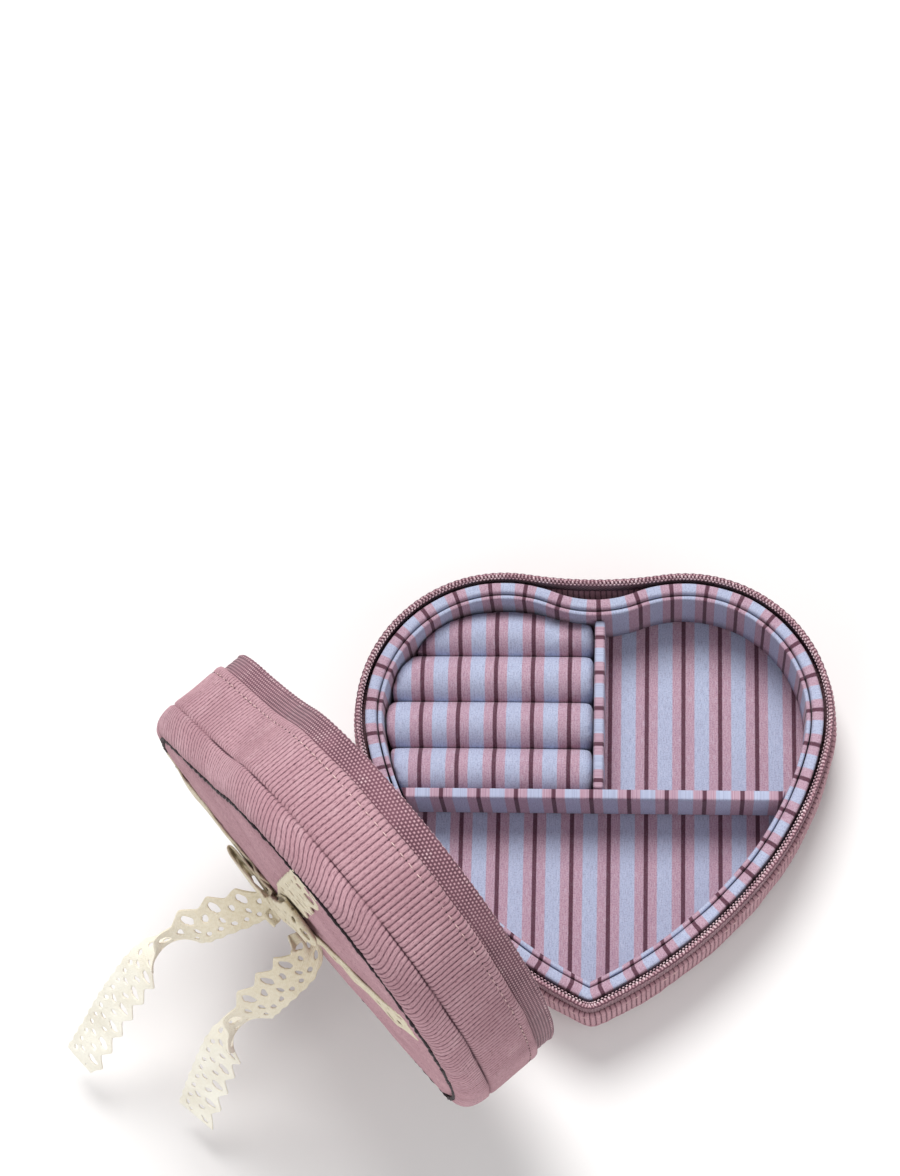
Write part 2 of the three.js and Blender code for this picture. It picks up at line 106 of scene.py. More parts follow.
WALL = 2.4 * MM
ZIP_BAND = 6.5 * MM
BORDER_INSET = 5 * MM
BORDER_HEIGHT = 6.5 * MM
LID_DEPTH = 28.7 * MM
LID_CROWN = 2.2 * MM
LID_OPEN = math.radians(89.2)
BOW_Y = 14 * MM
WALE_PITCH = 1.5 * MM

hinge = frame["record"]["behaviour"]["joints"][0]
hinge_point = Vector(hinge["pos_m"])
hinge_along = Vector(hinge["axis"]).normalized()
hinge_out = Vector((hinge_along.y, -hinge_along.x, 0))
ZIP_LINE = hinge_point.z
LID_TOP = ZIP_LINE + LID_DEPTH
HINGE_OFFSET = 2.7 * MM
wall_point = hinge_point - hinge_out * HINGE_OFFSET

open_lid = (Matrix.Translation(hinge_point)
            @ Matrix.Rotation(LID_OPEN, 4, hinge_along)
            @ Matrix.Translation(-hinge_point))
print("hinge at", tuple(hinge_point), "out", tuple(hinge_out))

# %% [markdown]
# ## Camera
#
# The photograph looks almost straight down from about three quarters of a metre, with the
# camera turned a little on its own axis. A long lens keeps the perspective mild. The camera
# comes first, because every later choice is judged through it.

# %% Camera
CAMERA_PLACE = Vector((0.020048, -0.192858, 0.744129))
CAMERA_ELEVATION = math.radians(70.477)
CAMERA_AZIMUTH = math.radians(13.54)
CAMERA_ROLL = math.radians(-12.565)
CAMERA_LENS = 85.07

backward = Vector((
    math.cos(CAMERA_ELEVATION) * math.sin(CAMERA_AZIMUTH),
    -math.cos(CAMERA_ELEVATION) * math.cos(CAMERA_AZIMUTH),
    math.sin(CAMERA_ELEVATION),
))
level = Vector((0, 0, 1)).cross(backward).normalized()
upward = backward.cross(level)
side = level * math.cos(CAMERA_ROLL) + upward * math.sin(CAMERA_ROLL)
above = upward * math.cos(CAMERA_ROLL) - level * math.sin(CAMERA_ROLL)
turn = Matrix((side, above, backward)).transposed()

camera_data = bpy.data.cameras.new("camera")
camera_data.lens = CAMERA_LENS
camera_data.sensor_fit = "AUTO"
camera_data.sensor_width = 36
camera = bpy.data.objects.new("camera", camera_data)
camera.matrix_world = Matrix.Translation(CAMERA_PLACE) @ turn.to_4x4()
bpy.context.scene.collection.objects.link(camera)
bpy.context.scene.camera = camera
print("camera looks along", tuple(-backward))

# %% [markdown]
# ## Stage and light
#
# A plain pale floor and three large soft lights. The main light stands behind and above the
# box, so the faces that look at the viewer, such as the front of the long divider, fall into
# a soft shade, as in the photograph.


# %% Floor and lights
def link(obj):
    bpy.context.scene.collection.objects.link(obj)
    return obj


def mesh_object(name, bm):
    """Turns a finished bmesh into an object at the origin, smooth shaded."""
    mesh = bpy.data.meshes.new(name)
    bm.to_mesh(mesh)
    bm.free()
    mesh.shade_smooth()
    return link(bpy.data.objects.new(name, mesh))


def srgb(red, green, blue):
    """A colour as the eye reads it, 0 to 255, in the linear values that a shader takes."""
    return tuple(
        c / 12.92 if c <= 0.04045 else ((c + 0.055) / 1.055) ** 2.4
        for c in (red / 255, green / 255, blue / 255)
    ) + (1.0,)


def soft_light(name, place, aim, size, power):
    data = bpy.data.lights.new(name, "AREA")
    data.shape = "DISK"
    data.size = size
    data.energy = power
    lamp = link(bpy.data.objects.new(name, data))
    lamp.location = place
    lamp.rotation_euler = (Vector(place) - Vector(aim)).to_track_quat("Z", "Y").to_euler()


FLOOR_SIZE = 6.0
bm = bmesh.new()
bmesh.ops.create_grid(bm, x_segments=1, y_segments=1, size=FLOOR_SIZE / 2)
floor = mesh_object("floor", bm)
floor_material = bpy.data.materials.new("pale floor")
floor_material.use_nodes = True
floor_shader = floor_material.node_tree.nodes["Principled BSDF"]
floor_shader.inputs["Base Color"].default_value = srgb(236, 234, 232)
floor_shader.inputs["Roughness"].default_value = 0.9
floor_shader.inputs["Specular IOR Level"].default_value = 0.1
floor.data.materials.append(floor_material)

BOX_MIDDLE = (-0.02, 0, 0.03)
soft_light("main light", (-0.1, 0.7, 1.2), BOX_MIDDLE, size=0.7, power=17)
soft_light("fill light", (0.9, -0.5, 0.8), BOX_MIDDLE, size=1.0, power=2.6)
soft_light("lid light", (-0.6, -0.9, 0.7), BOX_MIDDLE, size=0.9, power=5.6)

STUDIO_COLOUR = (0.95, 0.97, 1.0, 1.0)
STUDIO_STRENGTH = 0.42
world = bpy.data.worlds.new("studio")
world.use_nodes = True
background = world.node_tree.nodes["Background"]
background.inputs["Color"].default_value = STUDIO_COLOUR
background.inputs["Strength"].default_value = STUDIO_STRENGTH
bpy.context.scene.world = world
bpy.context.scene.view_settings.view_transform = "Standard"
print("stage and three lights ready")

# %% [markdown]
# ## Building shader nodes
#
# Each finish is a small network of nodes. Two helpers keep the networks short: one adds a
# node and fills its sockets with values or links, the other adds a math node. Effects that
# several finishes share become node groups, with named inputs and outputs.


# %% Node helpers
def node(tree, kind, inputs=None, **settings):
    """Adds a shader node; each input is a plain value or another node's output socket."""
    made = tree.nodes.new("ShaderNode" + kind)
    for name, value in settings.items():
        setattr(made, name, value)
    for key, value in (inputs or {}).items():
        if isinstance(value, bpy.types.NodeSocket):
            tree.links.new(value, made.inputs[key])
        else:
            made.inputs[key].default_value = value
    return made


def math_node(tree, operation, *values):
    return node(tree, "Math", dict(enumerate(values)), operation=operation).outputs[0]


def ramp(tree, value, low, high, start=0.0, end=1.0):
    """A value carried smoothly from one range to another, and held at its ends."""
    inputs = {"Value": value, 1: low, 2: high, 3: start, 4: end}
    return node(tree, "MapRange", inputs, interpolation_type="SMOOTHSTEP").outputs[0]


def mix(tree, share, first, second, blend="MIX"):
    made = node(tree, "Mix", {"Factor": share, 6: first, 7: second}, data_type="RGBA", blend_type=blend)
    return made.outputs[2]


def new_group(name, inputs, outputs):
    """A node group with named sockets; inputs map a name to its kind and first value."""
    tree = bpy.data.node_groups.new(name, "ShaderNodeTree")
    for label, (kind, value) in inputs.items():
        socket = tree.interface.new_socket(label, in_out="INPUT", socket_type="NodeSocket" + kind)
        if value is not None:
            socket.default_value = value
    for label, kind in outputs.items():
        tree.interface.new_socket(label, in_out="OUTPUT", socket_type="NodeSocket" + kind)
    entry = tree.nodes.new("NodeGroupInput")
    leave = tree.nodes.new("NodeGroupOutput")
    return tree, entry.outputs, leave.inputs


def use_group(tree, group, **inputs):
    made = tree.nodes.new("ShaderNodeGroup")
    made.node_tree = group
    for key, value in inputs.items():
        socket = made.inputs[key.replace("_", " ")]
        if isinstance(value, bpy.types.NodeSocket):
            tree.links.new(value, socket)
        else:
            socket.default_value = value
    return made.outputs


def new_material(name, roughness, specular=0.3, sheen=0.0):
    """A Principled material and its tree; what is even all over is set on the shader itself."""
    material = bpy.data.materials.new(name)
    material.use_nodes = True
    tree = material.node_tree
    shader = tree.nodes["Principled BSDF"]
    shader.inputs["Roughness"].default_value = roughness
    shader.inputs["Specular IOR Level"].default_value = specular
    shader.inputs["Sheen Weight"].default_value = sheen
    shader.inputs["Sheen Roughness"].default_value = 0.5
    return material, tree, shader


def bump(tree, shader, height, distance, strength=1.0):
    made = node(tree, "Bump", {"Strength": strength, "Distance": distance, "Height": height})
    tree.links.new(made.outputs["Normal"], shader.inputs["Normal"])


def place_of(tree, source="UV"):
    """The surface coordinate that a pattern follows, with its first two numbers."""
    coordinates = tree.nodes.new("ShaderNodeTexCoord").outputs[source]
    parts = node(tree, "SeparateXYZ", {0: coordinates}).outputs
    return coordinates, parts["X"], parts["Y"]


print("node helpers ready")

# %% [markdown]
# ## Shared effects
#
# Three effects return in several finishes. "Thread weave" is the fine crossing of warp and
# weft, finer than a millimetre. "Handling" is the soft unevenness that cloth gets from being
# touched and pressed. "Wales" are the ridges of corduroy, read from the distance across them.

# %% Thread weave, handling and wales
weave_tree, into, out = new_group(
    "thread weave",
    {"Vector": ("Vector", None), "Thread": ("Float", 0.4 * MM)},
    {"Height": "Float", "Fleck": "Float"},
)
parts = node(weave_tree, "SeparateXYZ", {0: into["Vector"]}).outputs
turns = math_node(weave_tree, "DIVIDE", 2 * math.pi, into["Thread"])
warp = math_node(weave_tree, "SINE", math_node(weave_tree, "MULTIPLY", parts["X"], turns))
weft = math_node(weave_tree, "SINE", math_node(weave_tree, "MULTIPLY", parts["Y"], turns))
crossing = math_node(weave_tree, "MULTIPLY", warp, weft)
speck_scale = math_node(weave_tree, "DIVIDE", 0.8, into["Thread"])
speck = node(weave_tree, "TexNoise", {"Vector": into["Vector"], "Scale": speck_scale, "Detail": 2.0})
weave_tree.links.new(math_node(weave_tree, "MULTIPLY_ADD", crossing, 0.5, 0.5), out["Height"])
weave_tree.links.new(ramp(weave_tree, speck.outputs[0], 0.3, 0.7), out["Fleck"])

handling_tree, into, out = new_group(
    "handling",
    {"Vector": ("Vector", None), "Size": ("Float", 20 * MM)},
    {"Shade": "Float", "Rub": "Float"},
)
broad_scale = math_node(handling_tree, "DIVIDE", 1.0, into["Size"])
broad = node(handling_tree, "TexNoise", {"Vector": into["Vector"], "Scale": broad_scale, "Detail": 3.0})
rub_scale = math_node(handling_tree, "DIVIDE", 2.6, into["Size"])
rub = node(handling_tree, "TexNoise", {"Vector": into["Vector"], "Scale": rub_scale, "Detail": 5.0})
handling_tree.links.new(ramp(handling_tree, broad.outputs[0], 0.3, 0.7), out["Shade"])
handling_tree.links.new(ramp(handling_tree, rub.outputs[0], 0.52, 0.75), out["Rub"])

wales_tree, into, out = new_group(
    "wales",
    {"Across": ("Float", 0.0), "Pitch": ("Float", WALE_PITCH)},
    {"Height": "Float", "Groove shade": "Float"},
)
wale_number = math_node(wales_tree, "DIVIDE", into["Across"], into["Pitch"])
turned = math_node(wales_tree, "MULTIPLY", wale_number, math.pi)
ridge = math_node(wales_tree, "ABSOLUTE", math_node(wales_tree, "SINE", turned))
wales_tree.links.new(math_node(wales_tree, "POWER", ridge, 0.5), out["Height"])
# The groove mask is used for painted shade in the grooves between the wales.
wales_tree.links.new(ramp(wales_tree, ridge, 0.15, 0.6, 1.0, 0.0), out["Groove shade"])
print("shared effects:", weave_tree.name, handling_tree.name, wales_tree.name)

# %% [markdown]
# ## Corduroy
#
# The outside is a dusty rose corduroy: soft ridges, called wales, with grooves between them.
# The ridges are real relief in the mesh. The shader paints shade into their grooves and into
# one crease, combs fine pile along them and lets rubbed places go paler.


# %% Corduroy material
PILE_COMB = (5200, 1100, 1)


def corduroy(name, pitch, crease_shade_at=None):
    """Ribbed cloth; crease_shade_at is the distance up the cloth of a fold in painted shade."""
    material, tree, shader = new_material(name, 0.88, 0.12, 0.3)
    shader.inputs["Sheen Tint"].default_value = srgb(235, 205, 212)
    uv, across, along = place_of(tree)
    wales = use_group(tree, wales_tree, Across=across, Pitch=pitch)
    handled = use_group(tree, handling_tree, Vector=uv, Size=16 * MM)
    comb = node(tree, "Mapping", {"Vector": uv, "Scale": PILE_COMB})
    pile = node(tree, "TexNoise", {"Vector": comb.outputs[0], "Scale": 1.0, "Detail": 3.0}).outputs[0]
    rose = mix(tree, handled["Shade"], srgb(178, 138, 145), srgb(194, 154, 161))
    rose = mix(tree, math_node(tree, "MULTIPLY", handled["Rub"], 0.4), rose, srgb(216, 182, 187))
    rose = mix(tree, ramp(tree, pile, 0.35, 0.65, 0.42, 0.0), rose, srgb(142, 98, 110))
    # Painted shade: the grooves between the wales are darkened, broken up by the pile.
    groove = math_node(tree, "MULTIPLY", wales["Groove shade"], ramp(tree, pile, 0.3, 0.65, 1.0, 0.55))
    rose = mix(tree, groove, rose, srgb(80, 46, 60))
    pit = ramp(tree, pile, 0.3, 0.38, 0.7, 0.0)
    rose = mix(tree, pit, rose, srgb(92, 56, 68))
    if crease_shade_at is not None:
        # Painted shade: a dark, broken line along the crease at the ridge's groove.
        away = math_node(tree, "ABSOLUTE", math_node(tree, "SUBTRACT", along, crease_shade_at))
        dark = math_node(tree, "MULTIPLY", ramp(tree, away, 0.15 * MM, 0.6 * MM, 1.0, 0.0),
                         ramp(tree, handled["Shade"], 0.1, 0.6, 0.25, 0.95))
        rose = mix(tree, dark, rose, srgb(58, 28, 40))
    tree.links.new(rose, shader.inputs["Base Color"])
    bump(tree, shader, pile, 0.12 * MM, 0.7)
    return material


# %% [markdown]
# ## Striped cotton
#
# The tray is lined with a plain woven cotton: a narrow burgundy stripe, then rose, then a
# wide pale blue, then rose again, about ten millimetres to a repeat. The stripe is read from
# the first number of the piece's own UV map, so on the rim it runs across the band. Warp
# threads show as fine lines along each stripe.

# %% Stripe group and cotton material
STRIPE_REPEAT = 10.1 * MM
BURGUNDY_SHARE = 0.112
ROSE_SHARE = 0.245
STRIPE_EDGE = 0.012
WARP_COMB = (3600, 420, 1)

stripe_tree, into, out = new_group(
    "cotton stripes",
    {"Across": ("Float", 0.0), "Repeat": ("Float", STRIPE_REPEAT), "Start": ("Float", 0.0)},
    {"Color": "Color", "Burgundy": "Float"},
)
shifted = math_node(stripe_tree, "SUBTRACT", into["Across"], into["Start"])
place = math_node(stripe_tree, "FRACT", math_node(stripe_tree, "DIVIDE", shifted, into["Repeat"]))
off_middle = math_node(stripe_tree, "PINGPONG", place, 0.5)
burgundy_to = BURGUNDY_SHARE / 2
in_burgundy = ramp(stripe_tree, off_middle, burgundy_to - STRIPE_EDGE, burgundy_to + STRIPE_EDGE, 1.0, 0.0)
blue_from = burgundy_to + ROSE_SHARE
in_blue = ramp(stripe_tree, off_middle, blue_from - STRIPE_EDGE, blue_from + STRIPE_EDGE)
stripe_colour = mix(stripe_tree, in_blue, srgb(182, 141, 156), srgb(172, 183, 209))
stripe_colour = mix(stripe_tree, in_burgundy, stripe_colour, srgb(92, 48, 62))
stripe_tree.links.new(stripe_colour, out["Color"])
stripe_tree.links.new(in_burgundy, out["Burgundy"])


def striped_cotton(name, start=0.0, repeat=STRIPE_REPEAT):
    material, tree, shader = new_material(name, 0.82, 0.2, 0.12)
    uv, across, _ = place_of(tree)
    stripes = use_group(tree, stripe_tree, Across=across, Repeat=repeat, Start=start)
    weave = use_group(tree, weave_tree, Vector=uv, Thread=0.3 * MM)
    handled = use_group(tree, handling_tree, Vector=uv, Size=24 * MM)
    lines = node(tree, "Mapping", {"Vector": uv, "Scale": WARP_COMB})
    warp_lines = node(tree, "TexNoise", {"Vector": lines.outputs[0], "Scale": 1.0, "Detail": 2.0}).outputs[0]
    cloth = mix(tree, ramp(tree, warp_lines, 0.5, 0.68, 0.0, 0.22), stripes["Color"], srgb(214, 212, 230))
    cloth = mix(tree, ramp(tree, warp_lines, 0.32, 0.5, 0.24, 0.0), cloth, srgb(116, 96, 130))
    cloth = mix(tree, math_node(tree, "MULTIPLY", weave["Fleck"], 0.2), cloth, srgb(226, 222, 232))
    cloth = mix(tree, ramp(tree, weave["Fleck"], 0.0, 0.45, 0.22, 0.0), cloth, srgb(104, 84, 112))
    cloth = mix(tree, math_node(tree, "MULTIPLY", handled["Shade"], 0.1), cloth, srgb(140, 120, 152))
    cloth = mix(tree, math_node(tree, "MULTIPLY", stripes["Burgundy"], 0.75), cloth, srgb(84, 40, 56))
    tree.links.new(cloth, shader.inputs["Base Color"])
    height = math_node(tree, "ADD", weave["Height"], warp_lines)
    bump(tree, shader, height, 0.06 * MM, 0.6)
    return material


# %% [markdown]
# ## Zip tape, coil, threads, lace and metal
#
# The tape is a firm knit: rows of raised stitches, with every other row moved by half a stitch;
# the stitch tops carry painted light and the ground between them painted shade. The coil is
# nylon, the only satin surface beside the metal.
# The lace is matte cotton; its colour runs from painted shade, beige near the lid, to painted
# light, ivory at its ends.


# %% Tape and coil materials
STITCH_LENGTH = 1.0 * MM
STITCH_ROW = 0.8 * MM


def knitted_tape(name):
    material, tree, shader = new_material(name, 0.8, 0.25, 0.15)
    uv, across, along = place_of(tree)
    row = math_node(tree, "DIVIDE", along, STITCH_ROW)
    odd = math_node(tree, "MULTIPLY", math_node(tree, "PINGPONG", math_node(tree, "FLOOR", row), 1.0), 0.5)
    column = math_node(tree, "ADD", math_node(tree, "DIVIDE", across, STITCH_LENGTH), odd)
    from_side = math_node(tree, "PINGPONG", column, 0.5)
    from_row = math_node(tree, "PINGPONG", row, 0.5)
    dot = math_node(tree, "MULTIPLY", ramp(tree, from_side, 0.08, 0.4), ramp(tree, from_row, 0.08, 0.4))
    handled = use_group(tree, handling_tree, Vector=uv, Size=12 * MM)
    # Painted shade on the ground between the stitches, painted light on the stitch tops.
    shaded_ground = mix(tree, handled["Shade"], srgb(96, 60, 72), srgb(118, 78, 90))
    lit = mix(tree, handled["Rub"], srgb(196, 154, 162), srgb(226, 192, 196))
    tree.links.new(mix(tree, dot, shaded_ground, lit), shader.inputs["Base Color"])
    bump(tree, shader, dot, 0.22 * MM, 0.8)
    return material


def nylon(name):
    material, tree, shader = new_material(name, 0.42, 0.45)
    coordinates, _, _ = place_of(tree, "Object")
    handled = use_group(tree, handling_tree, Vector=coordinates, Size=5 * MM)
    colour = mix(tree, handled["Shade"], srgb(186, 148, 158), srgb(232, 206, 210))
    tree.links.new(colour, shader.inputs["Base Color"])
    tree.links.new(ramp(tree, handled["Rub"], 0, 1, 0.36, 0.5), shader.inputs["Roughness"])
    return material


# %% Thread, lace and metal materials
def thread(name, dark, light):
    """Twisted sewing thread, between two tones."""
    material, tree, shader = new_material(name, 0.7, 0.3, 0.1)
    coordinates, _, _ = place_of(tree, "Object")
    twist = node(tree, "TexNoise", {"Vector": coordinates, "Scale": 2400.0, "Detail": 2.0}).outputs[0]
    tree.links.new(mix(tree, ramp(tree, twist, 0.35, 0.65), dark, light), shader.inputs["Base Color"])
    bump(tree, shader, twist, 0.08 * MM)
    return material


def cotton_lace(name, near, far, reach):
    """Lace whose colour goes along its own length from painted shade to painted light."""
    material, tree, shader = new_material(name, 0.85, 0.15, 0.2)
    uv, across, _ = place_of(tree)
    weave = use_group(tree, weave_tree, Vector=uv, Thread=0.7 * MM)
    handled = use_group(tree, handling_tree, Vector=uv, Size=10 * MM)
    # Painted shade near the start of the lace, painted light towards its far end.
    tone = mix(tree, ramp(tree, across, 0.0, reach), near, far)
    tone = mix(tree, math_node(tree, "MULTIPLY", handled["Shade"], 0.3), tone, srgb(206, 192, 160))
    tone = mix(tree, math_node(tree, "MULTIPLY", weave["Fleck"], 0.22), tone, srgb(252, 248, 238))
    tree.links.new(tone, shader.inputs["Base Color"])
    bump(tree, shader, math_node(tree, "ADD", weave["Height"], weave["Fleck"]), 0.1 * MM, 0.7)
    return material


def antique_metal(name):
    material, tree, shader = new_material(name, 0.38, 0.5)
    shader.inputs["Metallic"].default_value = 1.0
    coordinates, _, _ = place_of(tree, "Object")
    handled = use_group(tree, handling_tree, Vector=coordinates, Size=4 * MM)
    colour = mix(tree, handled["Shade"], srgb(150, 130, 108), srgb(196, 178, 152))
    tree.links.new(mix(tree, handled["Rub"], colour, srgb(222, 208, 184)), shader.inputs["Base Color"])
    tree.links.new(ramp(tree, handled["Shade"], 0, 1, 0.46, 0.3), shader.inputs["Roughness"])
    return material


coil_nylon = nylon("rose nylon coil")
# Near-black thread used as painted shadow, for the seam cords and the needle holes.
shadow_black = thread("painted shadow thread", srgb(16, 7, 12), srgb(42, 20, 30))
stitch_pale = thread("pale stitch thread", srgb(196, 158, 160), srgb(226, 196, 192))
# The bow's lace is the copy in painted shade: beige, only a little lighter along its length.
lace_shaded = cotton_lace("lace in painted shade", srgb(206, 192, 162), srgb(216, 204, 176), 40 * MM)
brass = antique_metal("antique brass")
print("materials so far:", len(bpy.data.materials))

# %% [markdown]
# ## The heart's outline
#
# The heart is five arcs on each side, run into each other. Moved inwards, an arc keeps its
# centre and only changes its radius, so rings at any depth stay parallel. Each point is
# found from its distance along the outline, which is also the cloth's own coordinate.


# %% Outline of the heart
def turned_from(centre, radius, angle):
    return np.array(centre) + radius * np.array((math.cos(angle), math.sin(angle)))


lobe_centre = np.array((LOBE_X, LOBE_Y))
hip_centre = turned_from(lobe_centre, LOBE_RADIUS - HIP_RADIUS, HIP_START)
side_centre = turned_from(hip_centre, HIP_RADIUS - SIDE_RADIUS, SIDE_START)


class HeartOutline:
    """The outline, measured along itself at one inset, anticlockwise from the tip."""

    def __init__(self, notch_radius, inset):
        self.notch_radius = notch_radius
        lengths = [radius * abs(end - start) for _, radius, start, end in self.arcs(inset)]
        self.marks = np.concatenate([[0.0], np.cumsum(lengths)])
        self.half = self.marks[-1]
        self.length = 2 * self.half

    def arcs(self, inset):
        tip_radius = max(TIP_RADIUS - inset, SHARP_CORNER)
        side_radius = SIDE_RADIUS - inset
        tip_y = side_centre[1] - math.sqrt((side_radius - tip_radius) ** 2 - side_centre[0] ** 2)
        tip_angle = math.atan2(tip_y - side_centre[1], -side_centre[0])
        notch_y = LOBE_Y + math.sqrt((LOBE_RADIUS + self.notch_radius) ** 2 - LOBE_X ** 2)
        notch_angle = math.atan2(notch_y - LOBE_Y, -LOBE_X)
        return [
            (np.array((0, tip_y)), tip_radius, -math.pi / 2, tip_angle),
            (side_centre, side_radius, tip_angle, SIDE_START),
            (hip_centre, HIP_RADIUS - inset, SIDE_START, HIP_START),
            (lobe_centre, LOBE_RADIUS - inset, HIP_START, notch_angle),
            (np.array((0, notch_y)), self.notch_radius + inset, notch_angle - math.pi, -math.pi / 2),
        ]

    def at(self, distance, inset):
        """Points and outward directions at distances along the outline, moved in by inset."""
        distance = np.asarray(distance, float) % self.length
        mirrored = distance > self.half
        along = np.where(mirrored, self.length - distance, distance)
        arcs = self.arcs(inset)
        index = np.clip(np.searchsorted(self.marks, along, side="right") - 1, 0, len(arcs) - 1)
        centre = np.array([a[0] for a in arcs])[index]
        radius = np.array([a[1] for a in arcs])[index]
        start = np.array([a[2] for a in arcs])[index]
        end = np.array([a[3] for a in arcs])[index]
        share = (along - self.marks[index]) / (self.marks[index + 1] - self.marks[index])
        angle = start + (end - start) * share
        direction = np.stack([np.cos(angle), np.sin(angle)], 1)
        points = centre + radius[:, None] * direction
        direction[index == len(arcs) - 1] *= -1
        points[mirrored, 0] *= -1
        direction[mirrored, 0] *= -1
        return points, direction


wall_outline = HeartOutline(NOTCH_RADIUS, 0.0)
RIM_INSET = 3.4 * MM
tray_outline = HeartOutline(TRAY_NOTCH_RADIUS, RIM_INSET)
print(f"round the wall {wall_outline.length * 1000:.1f} mm")
print(f"round the rim {tray_outline.length * 1000:.1f} mm")

# %% [markdown]
# ## Rings of cloth
#
# Walls, rims and tapes are all rings with some profile. A ring starts as a circle of
# vertices laid on the heart, and its open edge is extruded once for each further point of
# the profile. Every vertex remembers its column and its distances along and up the cloth,
# which become the UV map, in metres.


# %% Ring helper
def smooth_noise(u, scale, seed, wrap):
    """Noise along a closed distance, between about -1 and 1, the same at both ends."""
    angle = 2 * math.pi * np.asarray(u) / wrap
    reach = wrap / (2 * math.pi * scale)
    return np.array([
        noise.noise(Vector((math.cos(a) * reach, math.sin(a) * reach, seed))) for a in angle
    ])


def cloth_layers(bm):
    """Every vertex keeps its column and its distances along and up the cloth."""
    column = bm.verts.layers.int.new("column")
    u_layer = bm.verts.layers.float.new("u")
    v_layer = bm.verts.layers.float.new("v")
    return column, u_layer, v_layer


def lay_uv(bm, wrap=None):
    """Writes the cloth distances into a UV map; wrap is the length of a closed ring."""
    column = bm.verts.layers.int["column"]
    u_layer = bm.verts.layers.float["u"]
    v_layer = bm.verts.layers.float["v"]
    uv = bm.loops.layers.uv.new("cloth")
    last = max(v[column] for v in bm.verts)
    for face in bm.faces:
        crosses = wrap is not None and any(v[column] == last for v in face.verts)
        for loop in face.loops:
            vertex = loop.vert
            u = vertex[u_layer] + (wrap if crosses and vertex[column] == 0 else 0.0)
            loop[uv].uv = (u, vertex[v_layer])


def reach_along(profile):
    """How far along a profile each of its points lies."""
    steps = np.diff(profile, axis=0)
    return np.concatenate([[0.0], np.cumsum(np.hypot(steps[:, 0], steps[:, 1]))])


def ring_points(outline, u, profile, side, relief):
    """Rows of points over a profile of (inset, height); relief stands out of the surface."""
    profile = np.array(profile, float)
    v = reach_along(profile)
    tangent = np.gradient(profile, axis=0)
    tangent /= np.maximum(np.hypot(tangent[:, 0], tangent[:, 1]), 1e-12)[:, None]
    rows = []
    for (inset, height), (inward, rise), reach in zip(profile, tangent, v):
        points, outwards = outline.at(u, inset)
        proud = relief(u, reach) if relief else np.zeros(len(u))
        flat = points + outwards * (side * -rise * proud)[:, None]
        z = height + side * -inward * proud
        rows.append(np.column_stack([flat, np.broadcast_to(z, len(u))]))
    return rows, v


def cloth_ring(name, outline, columns, profile, side=1, relief=None, shear=None, closed=True, move=None):
    """A ring of cloth; a closed profile ends where it starts. side is 1 where the profile
    runs down the outside, and -1 where it runs up. shear moves the pattern along the ring."""
    u = np.arange(columns) / columns * outline.length
    rows, v = ring_points(outline, u, profile, side, relief)
    bm = bmesh.new()
    column, u_layer, v_layer = cloth_layers(bm)
    verts = bmesh.ops.create_circle(bm, segments=columns, radius=1.0)["verts"]
    for number, vertex in enumerate(verts):
        vertex[column] = number
    edges = list(bm.edges)
    for row, (points, reach) in enumerate(zip(rows, v)):
        if row:
            made = bmesh.ops.extrude_edge_only(bm, edges=edges)["geom"]
            verts = [g for g in made if isinstance(g, bmesh.types.BMVert)]
            fresh = set(verts)
            edges = [g for g in made if isinstance(g, bmesh.types.BMEdge) and set(g.verts) <= fresh]
        shift = shear(u, reach) if shear else np.zeros(columns)
        for vertex in verts:
            number = vertex[column]
            vertex.co = points[number]
            vertex[u_layer] = u[number] + shift[number]
            vertex[v_layer] = reach
    lay_uv(bm, outline.length)
    if closed:
        bmesh.ops.remove_doubles(bm, verts=bm.verts, dist=1e-7)
    bmesh.ops.recalc_face_normals(bm, faces=bm.faces)
    if move:
        bmesh.ops.transform(bm, matrix=move, verts=bm.verts)
    made = mesh_object(name, bm)
    print(f"{name}: {columns} columns, {len(rows)} rows, {len(made.data.polygons)} faces")
    return made


def dress(obj, material, body, slot, *replaced):
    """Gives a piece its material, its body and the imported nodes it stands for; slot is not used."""
    obj.data.materials.clear()
    obj.data.materials.append(material)
    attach(obj, body)
    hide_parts(*replaced)
    return obj


# %% [markdown]
# ## The ribbed walls
#
# Both halves have the same wall: a padded border at the flat panel, a seam groove, a straight
# wall and a fold at the zip. The wales stand across the wall. On the border the cloth is
# pulled on the bias, so there they lean over and run together. The lid's wall has a row of
# stitches near the fold, and the cloth dips along it.

# %% Wall profile and relief
wales_round = round(wall_outline.length / WALE_PITCH)
wall_pitch = wall_outline.length / wales_round
COLUMNS_PER_WALE = 6
WALE_HEIGHT = 0.4 * MM
RIDGE_HEIGHT = 7.0 * MM
RIDGE_GROOVE = 0.7 * MM
CREASE_FROM_FOLD = 2.3 * MM
CREASE_DEPTH = 0.3 * MM
CREASE_HALF = 0.7 * MM
FOLD_ROUND = 0.9 * MM
SEAM_DEPTH = 0.9 * MM
PANEL_BOARD = 2.3 * MM
BORDER_STEPS = 11
INSIDE_POINTS = 4


def border_rows(steps):
    """The padded border as a quarter of a flattened round, from the seam to the wall."""
    rows = []
    for i in range(steps + 1):
        angle = math.pi / 2 * i / steps
        inset = BORDER_INSET * (1 - math.sin(angle) ** 0.9)
        rows.append((inset, BORDER_HEIGHT * (1 - math.cos(angle)) ** 1.05))
    return rows


